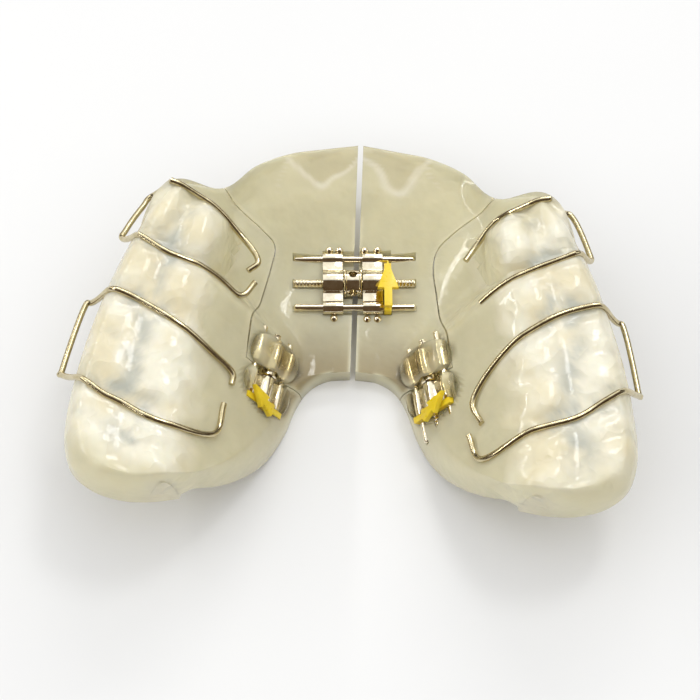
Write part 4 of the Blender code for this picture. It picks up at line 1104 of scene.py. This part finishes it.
def tint_plate(mesh, side):
    """Store at each vertex how strongly each tint, painted light and painted shade shows there, for the
    plate's material.
    """
    noise.seed_set(WARP_SEED)
    screws = [sagittal_matrix(each).inverted() for each in (-1, 1)]
    finder = edge_finder(side)
    rows = []
    for vertex in mesh.vertices:
        spot = vertex.co - ORIGIN
        out = abs(spot.x)
        warp = noise.noise_vector(vertex.co * WARP_SCALE) * WARP_REACH
        x, y = out + warp.x, spot.y + warp.y
        # Painted light along the saw cuts, the midline and the throat
        edge = bell(finder.find((out, spot.y, 0.0))[2], EDGE_GLOW_WIDTH)
        crown = crown_share(x, y, CROWN_TINT_MARGIN) ** 2
        speck = 0.5 + noise.fractal(vertex.co * SPECK_SCALE, *SPECK_SHAPE)
        # Painted shade in the crown forms' hollows, mottled by noise
        hollow_shade = min(crown_relief(x, y) / HOLLOW_SHADE_DEPTH, 1.0) * min(max(speck, 0.0), 1.0)
        hollow_shade *= crown * smooth_step(*HOLLOW_SHADE_ACROSS, row_place(x, y)[1])
        # Painted shade towards the rear middle of the palate
        rear = (1.0 - smooth_step(*REAR_SHADE_Y, spot.y)) * (1.0 - smooth_step(*REAR_SHADE_X, out))
        rows.append((edge, crown, hollow_shade, dome_share(vertex.co, screws), *scallop_share(x, y), rear))
    for name, values in zip(TINTS, zip(*rows)):
        mesh.attributes.new(name, "FLOAT", "POINT").data.foreach_set("value", list(values))


# The materials' colours, each pair from dark to pale
PALATE_COLOUR = (0.85, 0.8, 0.57)
# Painted shade towards the palate's rear middle
REAR_SHADE_COLOUR = (0.52, 0.43, 0.25)
FRONT_COLOUR = (0.77, 0.71, 0.49)
# Pale patches on the crowns, and the painted highlight lines along the front scallops
PALE_AND_HIGHLIGHT_COLOUR = (1.0, 0.95, 0.79)
# Painted shade in the crowns' hollows
HOLLOW_SHADE_COLOUR = (0.58, 0.59, 0.52)
OCHRE_COLOUR = (0.89, 0.81, 0.59)
# Painted light on upright faces and along cut edges
PAINTED_GLOW_COLOUR = (1.0, 0.93, 0.66)
CLOUD_COLOURS = ((0.93, 0.93, 0.93), (1.0, 1.0, 1.0))
STEEL_COLOURS = ((0.8, 0.71, 0.52), (0.9, 0.82, 0.64))
WIRE_COLOURS = ((0.52, 0.44, 0.26), (0.66, 0.58, 0.38))
YELLOW_COLOURS = ((0.74, 0.53, 0.012), (0.84, 0.62, 0.025))
PAPER_COLOURS = ((0.76, 0.76, 0.76), (0.78, 0.78, 0.78))

# The acrylic's textures: noises as scale and detail, and how they mix
PATCH_NOISE = (170.0, 2.0)
PATCH_LIMITS = (0.42, 0.62)
CLOUD_SCALE = 420.0
GRAIN_SCALE = 900.0
GRAIN_ROUGHNESS = (0.05, 0.12)
DOME_ROUGHNESS = 0.01
WAVE_NOISES = ((330.0, 2.5), (130.0, 1.0))
WAVE_SHARE = 0.45
DOME_WAVES = (0.5, 0.35)
CREASE_SCALES = (150.0, 420.0)
CREASE_SHARE = 0.35
BUMP_STRENGTH = 0.45
BUMP_DEPTH = 0.001
PALATE_CLEARNESS = 0.42
CROWN_CLEARNESS = 0.22
DOME_CLEARNESS = 0.96
ACRYLIC = {
    "IOR": 1.22,
    "Coat_Weight": 0.45,
    "Subsurface_Weight": 0.35,
    "Subsurface_Scale": 0.002,
    "Subsurface_Radius": (1.0, 0.9, 0.7),
}

# The other materials: noise limits of the colours, scales of colour, roughness and marks, and settings
METAL = {"limits": (0.35, 0.65), "scales": (1500.0, 4000.0, 5000.0), "strength": 0.05, "Metallic": 1.0}
PLASTIC = {
    "limits": NOISE_MIDDLE,
    "scales": (700.0, 2500.0, 2500.0),
    "strength": 0.08,
    "IOR": 1.5,
    "Subsurface_Weight": 0.1,
    "Subsurface_Scale": 0.0005,
}
MARK_DETAIL = 2.0
MARK_DEPTH = 0.0001


def acrylic_material():
    """Milky clear acrylic: yellowish in the middle, whiter on the crowns, clearest round the housings; with
    painted shade in the crowns' hollows and towards the throat, and painted light on upright faces, along cut
    edges and along the front scallops.
    """
    shader = Shader(bpy.data.materials.new("fine_acrylic"))
    edge, crown, hollow_shade, dome, scallop_highlight, gum, rear = (
        shader.add("Attribute", "Fac", attribute_name=name) for name in TINTS
    )
    patches = shader.span(shader.noise(*PATCH_NOISE), *PATCH_LIMITS)
    # The crowns' pale and ochre patches, with painted shade in their hollows
    tooth = shader.mix(hollow_shade, shader.mix(patches, PALE_AND_HIGHLIGHT_COLOUR, OCHRE_COLOUR), HOLLOW_SHADE_COLOUR)
    # The palate's tint, with painted shade towards its rear middle
    ground = shader.mix(rear, PALATE_COLOUR, REAR_SHADE_COLOUR)
    ground = shader.mix(gum, ground, FRONT_COLOUR)
    # Painted highlight lines along the front edge's scallops
    ground = shader.mix(scallop_highlight, ground, PALE_AND_HIGHLIGHT_COLOUR)
    cloud = shader.ramp(shader.noise(CLOUD_SCALE), zip(NOISE_MIDDLE, CLOUD_COLOURS))
    colour = shader.mix(1.0, shader.mix(crown, ground, tooth), cloud, "MULTIPLY")
    # Painted light on upright faces
    colour = shader.mix(shader.upright_glow(), colour, PAINTED_GLOW_COLOUR)
    # Painted light along the saw cuts, the midline and the throat
    colour = shader.mix(edge, colour, PAINTED_GLOW_COLOUR)
    clear = shader.span(crown, 0.0, 1.0, PALATE_CLEARNESS, CROWN_CLEARNESS)
    clear = shader.span(dome, 0.0, 1.0, clear, DOME_CLEARNESS)
    grain = shader.span(shader.noise(GRAIN_SCALE), *NOISE_MIDDLE, *GRAIN_ROUGHNESS)
    rough = shader.span(dome, 0.0, 1.0, grain, DOME_ROUGHNESS)
    shader.feed(Base_Color=colour, Transmission_Weight=clear, Roughness=rough, **ACRYLIC)
    waves = shader.mix(WAVE_SHARE, *(shader.noise(*each) for each in WAVE_NOISES))
    dome_limit, dome_level = DOME_WAVES
    waves = shader.span(dome, 0.0, dome_limit, waves, dome_level)
    cusps = shader.mix(CREASE_SHARE, *(shader.creases(scale) for scale in CREASE_SCALES))
    shader.bumps(shader.mix(crown, waves, cusps), BUMP_STRENGTH, BUMP_DEPTH)
    return shader.holder


def grained_material(name, colours, roughness, limits, scales, strength, **settings):
    """Make an even material, mottled a little in colour and roughness, with fine marks."""
    shader = Shader(bpy.data.materials.new(name))
    colour_noise, rough_noise = (shader.noise(scale) for scale in scales[:2])
    rough = shader.span(rough_noise, *NOISE_MIDDLE, *roughness)
    shader.feed(Base_Color=shader.ramp(colour_noise, zip(limits, colours)), Roughness=rough, **settings)
    shader.bumps(shader.noise(scales[2], MARK_DETAIL), strength, MARK_DEPTH)
    return shader.holder


MATERIALS = {
    "clear_acrylic": acrylic_material(),
    "polished_steel": grained_material("fine_steel", STEEL_COLOURS, (0.06, 0.16), **METAL),
    "clasp_wire": grained_material("fine_wire", WIRE_COLOURS, (0.12, 0.26), **METAL),
    "yellow_plastic": grained_material("fine_yellow", YELLOW_COLOURS, (0.25, 0.4), **PLASTIC),
}


def make_screw(name, bodies, ends, pins, sizes, matrix, pointing):
    """Make one expansion screw, with the bodies of its near half, pins, spindle and far half."""
    near, rods_body, turning, far = bodies
    place = sizes.pin_spacing / 2.0
    middle = stations(sizes)[0]
    pieces = [
        (f"{pins[0]}_pin", pin_mesh(sizes, -place), rods_body),
        (f"{pins[1]}_pin", pin_mesh(sizes, place), rods_body),
        ("spindle", spindle_mesh(sizes), turning),
        (f"{ends[0]}_housing", housing_mesh(sizes, -middle), near),
        (f"{ends[1]}_housing", housing_mesh(sizes, middle), far),
        ("arrow_tab", tab_mesh(sizes, pointing), far),
    ]
    lugs = {"left_housing": LEFT_LUGS, "right_housing": RIGHT_LUGS}
    for label, mesh, body in pieces:
        mesh.transform(matrix)
        if label in lugs:
            mesh = with_lugs(mesh, matrix, lugs[label])
        node = f"{name}_{label}"
        slot = "yellow_plastic" if label == "arrow_tab" else "polished_steel"
        add_piece(f"fine_{node}", mesh, body, node, slot)


def make_screws():
    """Make the three expansion screws."""
    bodies = ("anterior_left", "transverse_pins", "transverse_spindle", "anterior_right")
    ends, pins = ("left", "right"), ("rear", "front")
    make_screw("transverse_screw", bodies, ends, pins, TRANSVERSE, transverse_matrix(), 1)
    for side, label in ((-1, "left"), (1, "right")):
        name = f"{label}_sagittal"
        bodies = (f"anterior_{label}", f"{name}_pins", f"{name}_spindle", f"posterior_{label}")
        pins = ("lower", "upper") if side > 0 else ("upper", "lower")
        make_screw(f"{name}_screw", bodies, ("front", "rear"), pins, SAGITTAL, sagittal_matrix(side), side)


def make_plates_and_clasps():
    """Make the four segments of the plate and the clasps that lie on them."""
    clasps = {-1: (LEFT_FRONT_CLASP, LEFT_REAR_CLASP), 1: (RIGHT_FRONT_CLASP, RIGHT_REAR_CLASP)}
    for side, label in ((-1, "left"), (1, "right")):
        front, rear, tree = plate_meshes(side)
        for end, mesh in (("anterior", front), ("posterior", rear)):
            body = f"{end}_{label}"
            tint_plate(mesh, side)
            add_piece(f"fine_{body}_plate", mesh, body, f"{body}_plate", "clear_acrylic")
        for end, clasp in zip(("front", "rear"), clasps[side]):
            node = f"{label}_{end}_clasp"
            add_piece(f"fine_{node}", clasp_mesh(clasp, tree), f"posterior_{label}", node, "clasp_wire")


# The camera looks at the plate from over its rear edge
CAMERA_ELEVATION_DEG = 65.0
CAMERA_YAW_DEG = 1.0
CAMERA_ROLL_DEG = 3.0
CAMERA_DISTANCE = 0.25
CAMERA_TARGET = (-0.0005, -0.005, 0.014)
CLIP_START = 0.01
SENSOR_MM = 36.0
VIEW_WIDTH = 0.0761

# The sheet under the object
FLOOR_SIDE = 6.0
FLOOR_NOISE_SCALE = 12.0
FLOOR_ROUGHNESS = 0.9

# The lamps: name, azimuth and elevation in degrees, distance, sides and power in watts
LAMPS = (
    ("key", 30.0, 62.0, 0.6, (0.12, 0.12), 0.5),
    ("back", 10.0, 35.0, 0.7, (0.5, 0.1), 1.0),
    ("strip", -87.0, 37.0, 0.6, (0.025, 0.9), 1.0),
)
LAMP_TARGET = (0.0, 0.0, 0.008)

# The room: colours from below to above, and a dark patch that is seen in mirror images alone
ROOM_STOPS = (
    (0.0, (0.05, 0.04, 0.03)),
    (0.42, (0.1, 0.08, 0.06)),
    (0.6, (0.98, 0.98, 0.96)),
    (1.0, (0.8, 0.81, 0.83)),
)
WORLD_STRENGTH = 1.32
SHADE_AZIMUTH_DEG = 180.0
SHADE_ELEVATION_DEG = 35.0
SHADE_COSINES = (0.4, 0.58)
SHADE_COLOUR = (0.07, 0.045, 0.025)
BACKDROP_COLOUR = (1.15, 1.15, 1.14)


def direction(azimuth_deg, elevation_deg):
    """Return the way towards an azimuth, counted from +Y to +X, and an elevation."""
    azimuth, elevation = math.radians(azimuth_deg), math.radians(elevation_deg)
    level = math.cos(elevation)
    return Vector((math.sin(azimuth) * level, math.cos(azimuth) * level, math.sin(elevation)))


def make_floor():
    """Lay the sheet that the object rests on, of matt and nearly white paper."""
    shader = Shader(bpy.data.materials.new("floor"))
    tint = shader.ramp(shader.noise(FLOOR_NOISE_SCALE), zip(NOISE_MIDDLE, PAPER_COLOURS))
    shader.feed(Base_Color=tint, Roughness=FLOOR_ROUGHNESS)
    half = FLOOR_SIDE / 2.0
    corners = [(-half, -half, 0.0), (half, -half, 0.0), (half, half, 0.0), (-half, half, 0.0)]
    mesh = bpy.data.meshes.new("floor")
    mesh.from_pydata(corners, [], [(0, 1, 2, 3)])
    mesh.materials.append(shader.holder)
    linked("floor", mesh)


def make_camera():
    """Set the camera as in the photo."""
    roll = math.radians(CAMERA_ROLL_DEG)
    forward = direction(CAMERA_YAW_DEG, -CAMERA_ELEVATION_DEG)
    right = direction(CAMERA_YAW_DEG + 90.0, 0.0)
    up = right.cross(forward)
    across = math.cos(roll) * right + math.sin(roll) * up
    upright = math.cos(roll) * up - math.sin(roll) * right
    data = bpy.data.cameras.new("camera")
    data.sensor_width = SENSOR_MM
    data.lens = SENSOR_MM * CAMERA_DISTANCE / VIEW_WIDTH
    data.clip_start = CLIP_START
    camera = linked("camera", data)
    matrix = Matrix((across, upright, -forward)).transposed().to_4x4()
    matrix.translation = ORIGIN + Vector(CAMERA_TARGET) - forward * CAMERA_DISTANCE
    camera.matrix_world = matrix
    bpy.context.scene.camera = camera


def add_softbox(name, azimuth_deg, elevation_deg, distance, size, power):
    """Add an area lamp that faces the object, with its height along the object's length."""
    toward = direction(azimuth_deg, elevation_deg)
    data = bpy.data.lights.new(name, "AREA")
    data.shape = "RECTANGLE"
    data.size, data.size_y = size
    data.energy = power
    lamp = linked(name, data)
    lamp.location = Vector(LAMP_TARGET) + toward * distance
    along = (Vector((0.0, 1.0, 0.0)) - toward * toward.y).normalized()
    lamp.rotation_euler = Matrix((along.cross(toward), along, toward)).transposed().to_euler()


def make_light():
    """Light the object from soft lamps, in a room that is dark low down and pale to the camera."""
    for lamp in LAMPS:
        add_softbox(*lamp)
    world = bpy.data.worlds.new("room")
    bpy.context.scene.world = world
    shader = Shader(world, "Background")
    place = shader.add("TexCoord", "Generated")
    room = shader.ramp(shader.add("SeparateXYZ", "Z", {"Vector": place}), ROOM_STOPS)
    toward = {0: place, 1: direction(SHADE_AZIMUTH_DEG, SHADE_ELEVATION_DEG)}
    cosine = shader.add("VectorMath", "Value", toward, operation="DOT_PRODUCT")
    shade = shader.span(cosine, *SHADE_COSINES, kind="SMOOTHSTEP")
    glossy = shader.add("LightPath", "Is Glossy Ray")
    mirrored = shader.add("Math", "Value", {0: shade, 1: glossy}, operation="MULTIPLY")
    room = shader.mix(mirrored, room, SHADE_COLOUR)
    room = shader.mix(shader.add("LightPath", "Is Camera Ray"), room, BACKDROP_COLOUR)
    shader.feed(Color=room, Strength=WORLD_STRENGTH)


make_screws()
make_plates_and_clasps()
make_floor()
make_camera()
make_light()
bpy.context.scene.view_settings.view_transform = "Standard"
